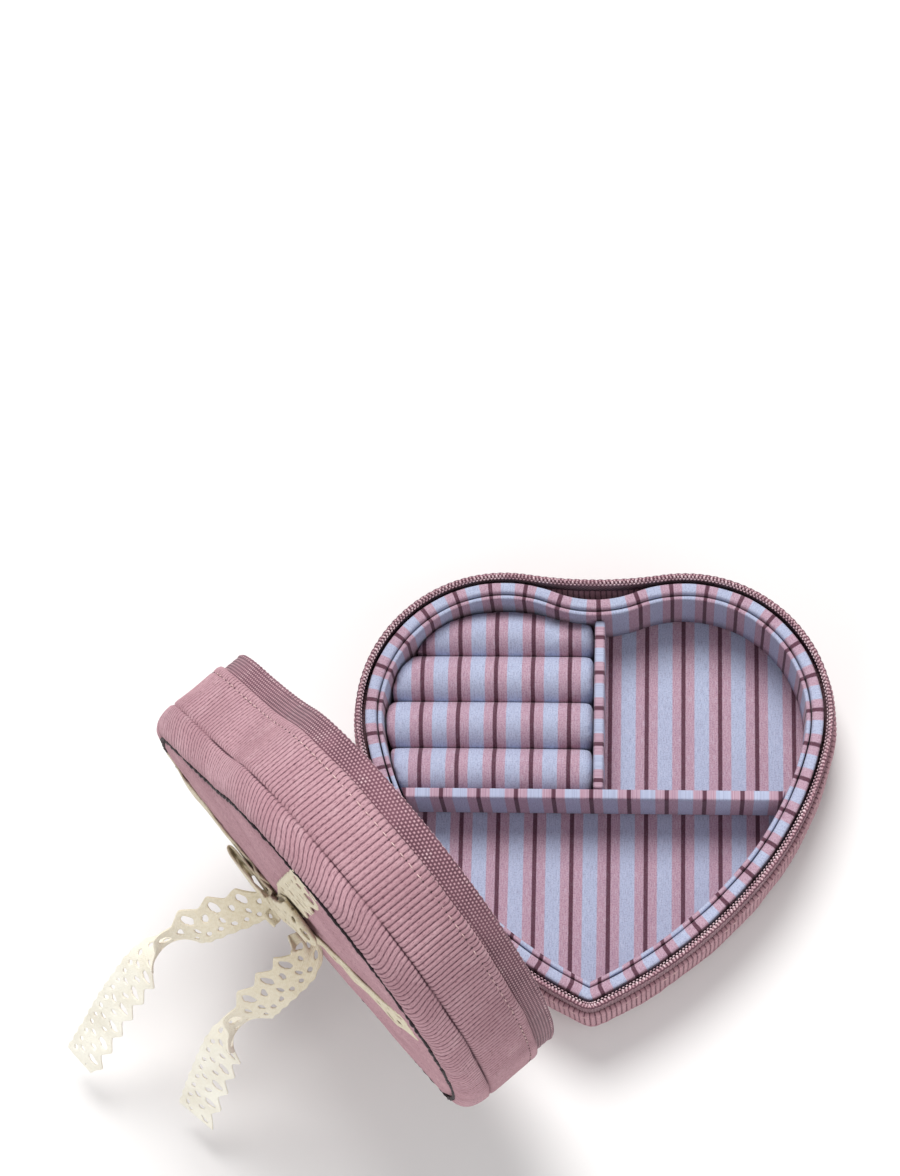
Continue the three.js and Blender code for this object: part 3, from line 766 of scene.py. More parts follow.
def wall_profile(depth):
    """Points of (inset, distance from the panel): over the border and the fold, then inside."""
    profile = [(BORDER_INSET, SEAM_DEPTH)] + border_rows(BORDER_STEPS)
    profile += [(0.22 * MM, RIDGE_HEIGHT - 0.1 * MM), (RIDGE_GROOVE, RIDGE_HEIGHT + 0.3 * MM)]
    profile += [(0.1 * MM, RIDGE_HEIGHT + 0.9 * MM)]
    straight_from = RIDGE_HEIGHT + 1.6 * MM
    straight_to = depth - CREASE_FROM_FOLD - CREASE_HALF
    for share in (0, 0.25, 0.5, 0.75, 1):
        profile.append((0.0, straight_from + (straight_to - straight_from) * share))
    profile.append((CREASE_DEPTH, depth - CREASE_FROM_FOLD))
    profile.append((0.02 * MM, depth - CREASE_FROM_FOLD + CREASE_HALF))
    for i in range(5):
        angle = math.pi * i / 4
        profile.append((
            FOLD_ROUND * (1 - math.cos(angle)) * 0.75,
            depth - FOLD_ROUND + FOLD_ROUND * math.sin(angle),
        ))
    profile += [(WALL, depth - 2.2 * MM), (WALL, PANEL_BOARD)]
    profile += [(BORDER_INSET, PANEL_BOARD), (BORDER_INSET, SEAM_DEPTH)]
    return profile


def outer_reach(profile):
    """Distances along the profile to the border's end, the ridge's groove and the inside."""
    v = reach_along(np.array(profile))
    border_last = BORDER_STEPS + 1
    return v[border_last], v[border_last + 2], v[-1 - INSIDE_POINTS]


def rise(value, low, high):
    share = np.clip((value - low) / (high - low), 0, 1)
    return share * share * (3 - 2 * share)


BORDER_LEAN = 3.2 * MM
WALE_WEAR = 0.3
WADDING = 0.34 * MM
PUCKER = 0.22 * MM
CLOTH_SINK = 0.1 * MM


def wall_cloth(profile, seed):
    """The relief and the lean of a wall's wales, as two functions of the cloth distances."""
    border_end, _, inside_from = outer_reach(profile)
    wrap = wall_outline.length

    def lean(u, v):
        over = 1 - rise(v, border_end * 0.35, border_end * 1.05)
        waver = smooth_noise(u, 14 * MM, seed, wrap)
        return BORDER_LEAN * over * (1 + 0.55 * waver)

    def relief(u, v):
        if v > inside_from:
            return np.zeros(len(u))
        across = (u + lean(u, v)) / wall_pitch
        ridge = np.sqrt(np.abs(np.sin(math.pi * across)))
        in_border = 1 - rise(v, border_end * 0.8, border_end * 1.1)
        worn = 0.82 + WALE_WEAR * smooth_noise(u, 9 * MM, seed + 3 + v * 90, wrap)
        soft = WADDING * smooth_noise(u, 11 * MM, seed + 7 + v * 130, wrap)
        pucker = PUCKER * smooth_noise(u, 2.6 * MM, seed + 11 + v * 200, wrap)
        edge = rise(v, 0.0, 1.2 * MM) * (1 - rise(v, inside_from - 1.5 * MM, inside_from))
        wale = WALE_HEIGHT * worn * ridge * (1 - 0.25 * in_border)
        return edge * (wale + soft + pucker * in_border) - CLOTH_SINK

    return relief, lean


# %% Walls of the base and the lid
wall_columns = wales_round * COLUMNS_PER_WALE
base_depth = ZIP_LINE - ZIP_BAND
FOOT_LIFT = 0.4 * MM
FOOT_ROUND = 3 * MM
base_profile = [
    (inset, height + FOOT_LIFT * (1 - rise(height, 0.0, FOOT_ROUND)))
    for inset, height in wall_profile(base_depth)
]
wall_corduroy = corduroy("corduroy wall", wall_pitch, outer_reach(base_profile)[1])
base_relief, base_lean = wall_cloth(base_profile, 1.0)
base_wall = cloth_ring("base_wall", wall_outline, wall_columns, base_profile, -1, base_relief, base_lean)
dress(base_wall, wall_corduroy, "base", "corduroy", "base_shell")

lid_depth = LID_DEPTH - ZIP_BAND
lid_profile = wall_profile(lid_depth)
lid_relief, lid_lean = wall_cloth(lid_profile, 5.0)
lid_rows = [(inset, LID_TOP - height) for inset, height in lid_profile]
lid_wall = cloth_ring(
    "lid_wall", wall_outline, wall_columns, lid_rows, 1, lid_relief, lid_lean, move=open_lid,
)
dress(lid_wall, wall_corduroy, "lid", "corduroy", "lid_shell")

# %% [markdown]
# ## The flat panels
#
# Each half is closed by a heart-shaped panel whose wales run from the tip to the notch. The
# lid's panel is padded and slightly crowned. A grid is the right start: its columns become
# the wales, and each column is stretched between the lower and the upper side of the heart.


# %% Panel helper
def heart_sides(outline, inset):
    """The x of half the outline with its lower and upper y, for looking up a column's ends."""
    points, _ = outline.at(np.linspace(0, outline.half, 900), inset)
    widest = int(np.argmax(points[:, 0]))
    return points[:widest + 1], points[widest:][::-1]


def reach_from_bow(outline, inset, x, y):
    """How far out a point lies between the bow's middle, 0, and the seam, 1."""
    points, _ = outline.at(np.linspace(0, outline.length, 1800, endpoint=False), inset)
    angles = np.arctan2(points[:, 1] - BOW_Y, points[:, 0])
    order = np.argsort(angles)
    distances = np.hypot(points[:, 0], points[:, 1] - BOW_Y)
    edge = np.interp(np.arctan2(y - BOW_Y, x), angles[order], distances[order], period=2 * math.pi)
    return np.hypot(x, y - BOW_Y) / edge, edge


def heart_plate(name, outline, inset, columns, rows, low, surface, up=1, move=None):
    """A plate whose upper side is surface(x, y), closed below at the height low."""
    lower, upper = heart_sides(outline, inset)
    widest = lower[-1, 0]
    bm = bmesh.new()
    bmesh.ops.create_grid(bm, x_segments=columns, y_segments=rows, size=1.0)
    _, u_layer, v_layer = cloth_layers(bm)
    bm.verts.ensure_lookup_table()
    grid = np.array([v.co[:2] for v in bm.verts])
    x = widest * np.sin(grid[:, 0] * math.pi / 2) * up
    bottom = np.interp(np.abs(x), lower[:, 0], lower[:, 1])
    top = np.interp(np.abs(x), upper[:, 0], upper[:, 1])
    y = bottom + (top - bottom) * (grid[:, 1] + 1) / 2
    z = surface(x, y)
    for vertex, place in zip(bm.verts, np.column_stack([x, y, z])):
        vertex.co = place
        vertex[u_layer] = place[0]
        vertex[v_layer] = place[1]
    bmesh.ops.remove_doubles(bm, verts=bm.verts, dist=2e-6)
    rim = [e for e in bm.edges if e.is_boundary]
    made = bmesh.ops.extrude_edge_only(bm, edges=rim)["geom"]
    skirt = [g for g in made if isinstance(g, bmesh.types.BMVert)]
    for vertex in skirt:
        vertex.co.z = low
    bmesh.ops.contextual_create(bm, geom=[e for e in bm.edges if e.is_boundary])
    bmesh.ops.recalc_face_normals(bm, faces=bm.faces)
    lay_uv(bm)
    if move:
        bmesh.ops.transform(bm, matrix=move, verts=bm.verts)
    made = mesh_object(name, bm)
    print(f"{name}: {len(made.data.polygons)} faces")
    return made


def plain_noise(x, y, scale, seed):
    return np.array([noise.noise(Vector((a / scale, b / scale, seed))) for a, b in zip(x, y)])


# %% Panels of the lid and the base
PANEL_INSET = BORDER_INSET + 0.2 * MM
SEAM_PULL = 1.0 * MM
SEAM_FALL = 0.9 * MM
panel_corduroy = corduroy("corduroy panel", WALE_PITCH)


def panel_surface(level_z, crown, up, seed):
    """A padded panel's height over a level: crowned in the middle and pulled in at its seam."""
    def surface(x, y):
        reach, edge = reach_from_bow(wall_outline, PANEL_INSET, x, y)
        from_seam = (1 - reach) * edge
        swell = crown * (1 - reach ** 2) - SEAM_PULL * np.exp(-from_seam / SEAM_FALL)
        wales = 1.2 * WALE_HEIGHT * np.sqrt(np.abs(np.sin(math.pi * x / WALE_PITCH)))
        soft = plain_noise(x, y, 13 * MM, seed) * 0.3 * MM * (1 - np.exp(-from_seam / (3 * MM)))
        return level_z + up * (swell + wales + soft)
    return surface


lid_panel = heart_plate(
    "lid_panel", wall_outline, PANEL_INSET, columns=640, rows=44, low=LID_TOP - PANEL_BOARD,
    surface=panel_surface(LID_TOP, LID_CROWN, up=1, seed=2.0), move=open_lid,
)
dress(lid_panel, panel_corduroy, "lid", "corduroy", "lid_shell")

BASE_PANEL_Z = 0.8 * MM
base_panel = heart_plate(
    "base_panel", wall_outline, PANEL_INSET, columns=520, rows=20, low=PANEL_BOARD,
    surface=panel_surface(BASE_PANEL_Z, crown=0.0, up=-1, seed=9.0), up=-1,
)
dress(base_panel, panel_corduroy, "base", "corduroy", "base_shell")

# %% [markdown]
# ## Seams and stitches
#
# Where border and panel meet, the shade in the gathered seam shows as a dark uneven line. It is
# painted shadow: a thin near-black cord with a changing thickness. The stitches along the fold
# are short dashes of pale thread, each a small bead stretched along the wall, with a dark bead
# of painted shade for a needle hole here and there.


# %% Bead helper
BEADS_TOGETHER = 24


def beads(name, spots, segments=7, rings=4, move=None):
    """Many small stretched balls in one mesh; each spot is a matrix for a ball of width 1.
    They are made a few at a time, because one large mesh grows slowly."""
    bm = bmesh.new()
    for start in range(0, len(spots), BEADS_TOGETHER):
        few = bmesh.new()
        for spot in spots[start:start + BEADS_TOGETHER]:
            bmesh.ops.create_uvsphere(few, u_segments=segments, v_segments=rings, radius=0.5, matrix=spot)
        mesh = bpy.data.meshes.new("few beads")
        few.to_mesh(mesh)
        few.free()
        bm.from_mesh(mesh)
        bpy.data.meshes.remove(mesh)
    if move:
        bmesh.ops.transform(bm, matrix=move, verts=bm.verts)
    made = mesh_object(name, bm)
    print(f"{name}: {len(spots)} beads, {len(made.data.polygons)} faces")
    return made


def bead_spot(distance, inset, z, size, tilt=0.0):
    """A ball of a size along, across and up the wall, at a distance along the outline."""
    points, directions = wall_outline.at([distance], inset)
    out = Vector((*directions[0], 0))
    run = Vector((-out.y, out.x, 0))
    up = Vector((0, 0, 1))
    turn = Matrix((run, out, up)).transposed() @ Matrix.Rotation(tilt, 3, "Y")
    scale = Matrix.Diagonal(size)
    return Matrix.Translation((*points[0], z)) @ (turn @ scale).to_4x4()


# %% Seams
SEAM_RADIUS = 0.48 * MM
SEAM_COLUMNS = 960


def seam_cord(name, z, seed, move=None):
    """A thin uneven cord in the groove between border and panel: painted shadow for the seam's shade."""
    profile = []
    for i in range(7):
        angle = 2 * math.pi * i / 6
        inset = BORDER_INSET + 0.1 * MM + SEAM_RADIUS * math.cos(angle)
        profile.append((inset, z + SEAM_RADIUS * math.sin(angle)))

    def relief(u, v):
        bumps = smooth_noise(u, 1.5 * MM, seed, wall_outline.length) * 0.34 * MM
        return bumps + smooth_noise(u, 6 * MM, seed + 5, wall_outline.length) * 0.12 * MM

    return cloth_ring(name, wall_outline, SEAM_COLUMNS, profile, 1, relief, move=move)


# The seam cords are painted shadow: the dark line of shade in the seam.
lid_seam = seam_cord("lid_seam", LID_TOP + 0.1 * MM, 3.0, open_lid)
dress(lid_seam, shadow_black, "lid", "corduroy", "lid_shell")
base_seam = seam_cord("base_seam", 0.85 * MM, 8.0)
dress(base_seam, shadow_black, "base", "corduroy", "base_shell")

# %% Stitches along the fold
STITCH_STEP = 3.0 * MM
STITCH_SIZE = (1.9 * MM, 0.4 * MM, 0.32 * MM)
NEEDLE_HOLE_SIZE = (0.38 * MM, 0.22 * MM, 0.32 * MM)
SINKS_BELOW = -0.05
lid_fold_z = LID_TOP - lid_depth
lid_stitch_z = lid_fold_z + CREASE_FROM_FOLD
stitch_count = round(wall_outline.length / STITCH_STEP)


def stitch_spots(z, seed):
    """Stitches along the wall; some sink into the pile, so not all of them show."""
    spots = []
    holes = []
    for i in range(stitch_count):
        distance = (i + 0.5) * wall_outline.length / stitch_count
        chance = noise.noise(Vector((i * 0.37, seed, 0.5)))
        lift = 0.06 * MM if chance > SINKS_BELOW else -0.3 * MM
        tilt = 0.12 * noise.noise(Vector((i * 1.7, seed, 2.5)))
        spots.append(bead_spot(distance, -lift, z, STITCH_SIZE, tilt))
        # Each needle hole is a dark bead of painted shade.
        holes.append(bead_spot(distance + STITCH_STEP / 2, -0.05 * MM, z, NEEDLE_HOLE_SIZE))
    return spots, holes


stitches, holes = stitch_spots(lid_stitch_z, 4.0)
lid_stitches = beads("lid_stitches", stitches, 6, 4, open_lid)
dress(lid_stitches, stitch_pale, "lid", "corduroy", "lid_shell")
# Dark beads of painted shade in the needle holes.
lid_needle_hole_shade = beads("lid_needle_hole_shade", holes, 6, 4, open_lid)
dress(lid_needle_hole_shade, shadow_black, "lid", "corduroy", "lid_shell")
stitches, _ = stitch_spots(base_depth - CREASE_FROM_FOLD, 6.0)
base_stitches = beads("base_stitches", stitches, 6, 4)
dress(base_stitches, stitch_pale, "base", "corduroy", "base_shell")

# %% [markdown]
# ## The zip
#
# Each side of the zip is a knitted tape that stands on the fold of the wall, with a coil of
# nylon along its free edge. The tape's free edge is scalloped by the stitching that holds the
# coil. Seen from above, each turn of the coil is a bright pearl, with a thread behind it.

# %% Zip tapes
TAPE_INSET = 1.0 * MM
TAPE_THICKNESS = 1.0 * MM
TAPE_OVERLAP = 0.6 * MM
STITCH_RELIEF = 0.12 * MM
SCALLOP_RELIEF = 0.22 * MM
COIL_SETBACK = 0.2 * MM
EDGE_SETBACK = 0.5 * MM
COIL_HEIGHT = 1.4 * MM
TURN_PITCH = 1.06 * MM
turns_round = round(wall_outline.length / TURN_PITCH)
turn_pitch = wall_outline.length / turns_round
tape_columns = 3 * turns_round


def tape_profile(foot, edge):
    """Up the outside of the tape from its foot, over the free edge and down the inside."""
    out = TAPE_INSET
    inner = TAPE_INSET + TAPE_THICKNESS
    profile = [(out, foot + (edge - foot) * i / 12) for i in range(12)]
    lean = math.copysign(0.3 * MM, edge - foot)
    profile += [(out + 0.02 * MM, edge - lean), (out + 0.35 * MM, edge), (inner - 0.35 * MM, edge)]
    profile += [(inner, edge - lean), (inner, foot), (out, foot)]
    return profile


def tape_relief(edge_reach):
    """Stitches up to the free edge, which is scalloped; the inside stays smooth."""
    def relief(u, v):
        row = v / STITCH_ROW
        offset = 0.5 * (int(row) % 2)
        across = np.abs(np.sin(math.pi * (u / STITCH_LENGTH + offset)))
        stitch = STITCH_RELIEF * across * abs(math.sin(math.pi * row))
        near_edge = 1.0 if abs(v - edge_reach) < 0.8 * MM else 0.0
        scallop = SCALLOP_RELIEF * near_edge * np.abs(np.sin(math.pi * u / (2 * turn_pitch)))
        return stitch + scallop if v < edge_reach + 0.9 * MM else np.zeros(len(u))
    return relief


lid_tape_foot = lid_fold_z + TAPE_OVERLAP
lid_tape_edge = ZIP_LINE + EDGE_SETBACK
lid_tape = cloth_ring(
    "lid_tape", wall_outline, tape_columns, tape_profile(lid_tape_foot, lid_tape_edge), 1,
    tape_relief(lid_tape_foot - lid_tape_edge), move=open_lid,
)
dress(lid_tape, knitted_tape("knitted lid tape"), "lid", "zip_tape", "lid_zip_tape")

base_tape_foot = base_depth - TAPE_OVERLAP
base_tape_edge = ZIP_LINE - EDGE_SETBACK
base_tape = cloth_ring(
    "base_tape", wall_outline, tape_columns, tape_profile(base_tape_foot, base_tape_edge), -1,
    tape_relief(base_tape_edge - base_tape_foot),
)
dress(base_tape, knitted_tape("knitted base tape"), "base", "zip_tape", "base_zip_tape")

# %% Zip coils
TURN_INSET = 1.75 * MM
TURN_SIZE = (0.78 * MM, 1.25 * MM, COIL_HEIGHT)
CROSS_THREAD_SIZE = (0.7 * MM, 0.4 * MM, COIL_HEIGHT * 0.7)


def coil_turns(z, side):
    """The turns of a coil and the thread that crosses behind each."""
    spots = []
    for i in range(turns_round):
        distance = i * turn_pitch
        spots.append(bead_spot(distance, TURN_INSET, z, TURN_SIZE, 0.18))
        spots.append(bead_spot(
            distance + turn_pitch / 2, TURN_INSET + 0.75 * MM, z + side * 0.1 * MM,
            CROSS_THREAD_SIZE, -0.3,
        ))
    return spots


lid_coil = beads("lid_coil", coil_turns(ZIP_LINE + COIL_SETBACK + COIL_HEIGHT / 2, -1), 7, 4, open_lid)
dress(lid_coil, coil_nylon, "lid", "zip_coil", "lid_zip_coil")
base_coil = beads("base_coil", coil_turns(ZIP_LINE - COIL_SETBACK - COIL_HEIGHT / 2, 1), 7, 4)
dress(base_coil, coil_nylon, "base", "zip_coil", "base_zip_coil")

# %% [markdown]
# ## The tray
#
# The tray's rim is a padded band of the striped cotton with a thinner liner inside it. On
# both the stripes run across the band, so their UV starts along the ring. The floor lies
# loose at the bottom, with its stripes from front to back.

# %% Rim, liner and floor
rim_low, rim_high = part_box("tray_rim")
liner_low, liner_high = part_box("tray_liner")
floor_low, floor_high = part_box("tray_floor")
RIM_WIDTH = 3.1 * MM
LINER_INSET = RIM_INSET + RIM_WIDTH + 0.3 * MM
LINER_WIDTH = 1.3 * MM
RIM_ROUND = 0.85 * MM
LINER_ROUND = 0.6 * MM
RIM_STRIPE_START = 4.0 * MM
tray_columns = 900


def band_profile(inset, width, low, high, radius, steps):
    """A closed band: up the outside, round the top and down the inside."""
    profile = [(inset, low), (inset, (low + high) / 2)]
    for centre, start in ((inset + radius, math.pi), (inset + width - radius, math.pi / 2)):
        for i in range(steps + 1):
            angle = start - math.pi / 2 * i / steps
            profile.append((centre + radius * math.cos(angle), high - radius + radius * math.sin(angle)))
    profile += [(inset + width, high - (high - low) * share) for share in (0.3, 0.5, 0.75, 1.0)]
    profile.append((inset, low))
    return profile


def soft_band(depth, seed):
    """The gentle unevenness of a padded band."""
    def relief(u, v):
        puff = smooth_noise(u, 9 * MM, seed + v * 60, tray_outline.length)
        return depth * puff - 0.05 * MM
    return relief


rim_stripes = round(tray_outline.length / STRIPE_REPEAT)
rim_repeat = tray_outline.length / rim_stripes
rim_cotton = striped_cotton("striped rim cotton", RIM_STRIPE_START, rim_repeat)
tray_rim = cloth_ring(
    "padded_rim", tray_outline, tray_columns,
    band_profile(RIM_INSET, RIM_WIDTH, rim_low.z, rim_high.z, RIM_ROUND, 4), -1,
    soft_band(0.16 * MM, 2.0),
)
dress(tray_rim, rim_cotton, "base", "striped_cotton", "tray_rim")
tray_liner = cloth_ring(
    "rim_liner", tray_outline, tray_columns,
    band_profile(LINER_INSET, LINER_WIDTH, liner_low.z, liner_high.z, LINER_ROUND, 4), -1,
    soft_band(0.1 * MM, 7.0),
)
dress(tray_liner, rim_cotton, "base", "striped_cotton", "tray_liner")

FLOOR_STRIPE_X = 4.2 * MM
floor_cotton = striped_cotton("striped floor cotton", FLOOR_STRIPE_X)


def floor_surface(x, y):
    return floor_high.z - 0.1 * MM + plain_noise(x, y, 22 * MM, 4.0) * 0.14 * MM


tray_cloth = heart_plate(
    "tray_cloth", tray_outline, RIM_INSET, columns=120, rows=60, low=floor_low.z,
    surface=floor_surface,
)
dress(tray_cloth, floor_cotton, "base", "striped_cotton", "tray_floor")

# %% [markdown]
# ## Dividers
#
# The dividers are thin board wrapped in the same cotton, so their edges are soft and their
# ends tuck against the liner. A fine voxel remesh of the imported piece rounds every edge, and
# the stripes are then laid on by the piece's own UV map.


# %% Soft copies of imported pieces
def apply_modifiers(obj):
    """Replaces a piece's mesh by what its modifiers make of it."""
    bpy.context.view_layer.update()
    graph = bpy.context.evaluated_depsgraph_get()
    finished = bpy.data.meshes.new_from_object(obj.evaluated_get(graph))
    obj.modifiers.clear()
    obj.data = finished


def soft_copy(name, source, voxel, smoothing):
    """A remeshed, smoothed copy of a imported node's mesh."""
    bm = bmesh.new()
    bm.from_mesh(nodes[source].data)
    bmesh.ops.remove_doubles(bm, verts=bm.verts, dist=1e-6)
    bmesh.ops.dissolve_limit(bm, angle_limit=0.01, verts=bm.verts, edges=bm.edges)
    copy = mesh_object(name, bm)
    remesh = copy.modifiers.new("remesh", "REMESH")
    remesh.mode = "VOXEL"
    remesh.voxel_size = voxel
    apply_modifiers(copy)
    bm = bmesh.new()
    bm.from_mesh(copy.data)
    for _ in range(smoothing):
        bmesh.ops.smooth_vert(
            bm, verts=bm.verts, factor=0.5, use_axis_x=True, use_axis_y=True, use_axis_z=True,
        )
    bm.to_mesh(copy.data)
    bm.free()
    copy.data.shade_smooth()
    return copy


def stripe_uv(obj, axis, other):
    """Lays the stripes straight through a piece: the UV is two of its own coordinates."""
    mesh = obj.data
    uv = mesh.uv_layers.new(name="cloth")
    places = np.zeros(len(mesh.vertices) * 3)
    mesh.vertices.foreach_get("co", places)
    places = places.reshape(-1, 3)
    corners = np.zeros(len(mesh.loops), int)
    mesh.loops.foreach_get("vertex_index", corners)
    flat = np.column_stack([places[corners][:, axis], places[corners][:, other]])
    uv.data.foreach_set("uv", flat.ravel())


DIVIDER_STRIPE_X = -0.3 * MM
DIVIDER_STRIPE_Y = 2.0 * MM
DIVIDER_VOXEL = 0.5 * MM
for name, axis, stripe_start in (("long", 0, DIVIDER_STRIPE_X), ("short", 1, DIVIDER_STRIPE_Y)):
    source = f"divider_{name}"
    divider = soft_copy(f"padded_{name}_divider", source, DIVIDER_VOXEL, 2)
    stripe_uv(divider, axis, 2)
    divider_cotton = striped_cotton(f"striped {name} divider", stripe_start)
    dress(divider, divider_cotton, "base", "striped_cotton", source)
    print(f"{name} divider: {len(divider.data.polygons)} faces")

# %% [markdown]
# ## Ring rolls
#
# The rolls are cotton tubes stuffed with wadding, pressed side by side so that a ring can
# stand in each crease. Blender's cloth with a little pressure makes that swell: the packed
# roll is remeshed, blown up at ten times its size, because cloth behaves best there, and each
# point is kept near its start.

# %% Swell the rolls
ROLL_STRIPE_X = -6.66 * MM
ROLL_VOXEL = 1.2 * MM
CLOTH_SCALE = 10
SWELL_FRAMES = 16
SWELL_CAP = 0.9 * MM
SIDE_ROOM = Vector((0, 0.12, 0)) * MM
TOP_ROOM = Vector((0, 0.12, 1.2)) * MM


def swollen(obj, frames, cap):
    """Inflates a closed mesh as cloth and keeps every point within cap of its start."""
    start = np.zeros(len(obj.data.vertices) * 3)
    obj.data.vertices.foreach_get("co", start)
    obj.data.transform(Matrix.Scale(CLOTH_SCALE, 4))
    cloth = obj.modifiers.new("cloth", "CLOTH")
    cloth.settings.quality = 5
    cloth.settings.mass = 0.3
    cloth.settings.use_pressure = True
    cloth.settings.uniform_pressure_force = 4
    cloth.settings.effector_weights.gravity = 0
    cloth.point_cache.frame_end = frames
    for step in range(1, frames + 1):
        bpy.context.scene.frame_set(step)
    apply_modifiers(obj)
    obj.data.transform(Matrix.Scale(1 / CLOTH_SCALE, 4))
    end = np.zeros_like(start)
    obj.data.vertices.foreach_get("co", end)
    start = start.reshape(-1, 3)
    moved = end.reshape(-1, 3) - start
    lengths = np.linalg.norm(moved, axis=1)
    shorter = np.minimum(1, cap / np.maximum(lengths, 1e-9))
    obj.data.vertices.foreach_set("co", (start + moved * shorter[:, None]).ravel())
    obj.data.update()
    bpy.context.scene.frame_set(1)
    return float(lengths.max())


def keep_inside(obj, low, high):
    """Holds a piece between two corners."""
    for vertex in obj.data.vertices:
        for axis in range(3):
            vertex.co[axis] = min(max(vertex.co[axis], low[axis]), high[axis])


for number in range(1, 5):
    source = f"ring_roll_{number}"
    roll = soft_copy(f"padded_roll_{number}", source, ROLL_VOXEL, 3)
    swell = swollen(roll, SWELL_FRAMES, SWELL_CAP)
    print(f"roll {number} swelled by up to {swell * 1000:.1f} mm before the cap")
    roll_low, roll_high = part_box(source)
    keep_inside(roll, roll_low - SIDE_ROOM, roll_high + TOP_ROOM)
    rounder = roll.modifiers.new("rounder", "SUBSURF")
    rounder.levels = 1
    rounder.render_levels = 1
    apply_modifiers(roll)
    stripe_uv(roll, 0, 1)
    dress(roll, striped_cotton(f"striped roll {number}", ROLL_STRIPE_X), "base", "striped_cotton", source)

# %% [markdown]
# ## Inside the lid
#
# The lid's hollow is lined with the striped cotton, glued to the board. It faces away from
# the viewer here, but it shows from the other side, so it gets the same cloth.

# %% Lid lining
LINING_THICKNESS = 1.1 * MM
LINING_GAP = 0.3 * MM
LINING_INSET = WALL + LINING_GAP
LINING_STRIPES = 41
LINING_COLUMNS = 600
lining_top = LID_TOP - WALL - LINING_GAP
lining_foot = ZIP_LINE + ZIP_BAND
lining_high = lining_top - LINING_THICKNESS
lining_inner = LINING_INSET + LINING_THICKNESS

lining_profile = [(LINING_INSET, lining_foot), (LINING_INSET, lining_high), (lining_inner, lining_high)]
for share in (0.75, 0.5, 0.25, 0.08):
    lining_profile.append((lining_inner, lining_foot + (lining_top - lining_foot) * share))
lining_profile += [(lining_inner - 0.4 * MM, lining_foot), (LINING_INSET, lining_foot)]
lining_band = cloth_ring(
    "lid_lining_band", wall_outline, LINING_COLUMNS, lining_profile, move=open_lid,
)
lining_cotton = striped_cotton("striped lining band", 0.0, wall_outline.length / LINING_STRIPES)
dress(lining_band, lining_cotton, "lid", "striped_cotton", "lid_lining")


def lining_surface(x, y):
    return lining_high - 0.1 * MM + plain_noise(x, y, 16 * MM, 6.0) * 0.2 * MM


lining_panel = heart_plate(
    "lid_lining_panel", wall_outline, LINING_INSET + 0.2 * MM, columns=160, rows=70,
    low=lining_top, surface=lining_surface, up=-1, move=open_lid,
)
dress(lining_panel, floor_cotton, "lid", "striped_cotton", "lid_lining")

# %% [markdown]
# ## The fabric hinge
#
# A strip of the same corduroy is glued up the base's wall and on to the lid's. It is one
# sheet that bends round the hinge line. At rest it makes a quarter turn, and it blends
# between the two bodies, so it stays whole at every angle of the lid.

# %% Hinge strip
STRIP_OUT = 0.7 * MM
STRIP_THICKNESS = 0.7 * MM
STRIP_LENGTH = 36 * MM
STRIP_REACH = 10.6 * MM
STRIP_COLUMNS = 72
bend_radius = HINGE_OFFSET - STRIP_OUT
strip_middle = wall_point.dot(hinge_along)


def from_hinge(s, out, z):
    """A point given along the hinge, out from the wall and above the table."""
    flat = wall_point + hinge_along * (s - strip_middle) + hinge_out * out
    return Vector((flat.x, flat.y, z))


strip_path = [(STRIP_OUT, ZIP_LINE - STRIP_REACH + STRIP_REACH * i / 5) for i in range(5)]
for i in range(9):
    angle = math.pi - math.pi / 2 * i / 8
    strip_path.append((
        HINGE_OFFSET + bend_radius * math.cos(angle), ZIP_LINE + bend_radius * math.sin(angle),
    ))
strip_path += [(HINGE_OFFSET + STRIP_REACH * i / 5, ZIP_LINE + bend_radius) for i in range(1, 6)]

bm = bmesh.new()
bmesh.ops.create_grid(bm, x_segments=STRIP_COLUMNS, y_segments=len(strip_path) - 1, size=1.0)
_, u_layer, v_layer = cloth_layers(bm)
for vertex in bm.verts:
    row = round((vertex.co.y + 1) / 2 * (len(strip_path) - 1))
    s = vertex.co.x * STRIP_LENGTH / 2
    vertex[u_layer] = s
    vertex[v_layer] = row * MM
    vertex.co = from_hinge(strip_middle + s, *strip_path[row])
lay_uv(bm)
hinge_strip = mesh_object("hinge_strip", bm)
thick = hinge_strip.modifiers.new("thick", "SOLIDIFY")
thick.thickness = STRIP_THICKNESS
thick.offset = 0
apply_modifiers(hinge_strip)
hinge_strip.data.materials.append(panel_corduroy)
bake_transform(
    hinge_strip, "base", "lid",
    start=from_hinge(strip_middle, STRIP_OUT, ZIP_LINE),
    end=from_hinge(strip_middle, HINGE_OFFSET, ZIP_LINE + bend_radius),
)
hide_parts("hinge_strip_base", "hinge_strip_lid")

# %% [markdown]
# ## Slider and pull
#
# The slider and its pull are small castings of antique brass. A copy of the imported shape
# gets rounded edges, because a casting never has sharp ones.


# %% Slider and pull
SHARP_FROM = 0.9


def cast_copy(name, source, rounding):
    """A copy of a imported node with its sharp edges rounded."""
    bm = bmesh.new()
    bm.from_mesh(nodes[source].data)
    bmesh.ops.remove_doubles(bm, verts=bm.verts, dist=1e-6)
    bmesh.ops.dissolve_limit(bm, angle_limit=0.02, verts=bm.verts, edges=bm.edges)
    sharp = [e for e in bm.edges if len(e.link_faces) == 2 and e.calc_face_angle() > SHARP_FROM]
    bmesh.ops.bevel(
        bm, geom=sharp, offset=rounding, affect="EDGES", segments=3, profile=0.5, material=-1,
        clamp_overlap=True,
    )
    return mesh_object(name, bm)


dress(cast_copy("slider", "zip_slider", 0.35 * MM), brass, "base", "metal", "zip_slider")
dress(cast_copy("pull", "zip_pull", 0.25 * MM), brass, "base", "metal", "zip_pull")

# %% [markdown]
# ## Lace
#
# The bow is made of a cotton edging: one side straight, the other scalloped, with rows of
# leaning oval holes between dense threads. A flat grid is the cut ribbon. The faces inside
# each hole are deleted and the edges of the holes smoothed, while it still lies flat. Then it
# is bent along its path, thickened and rounded.

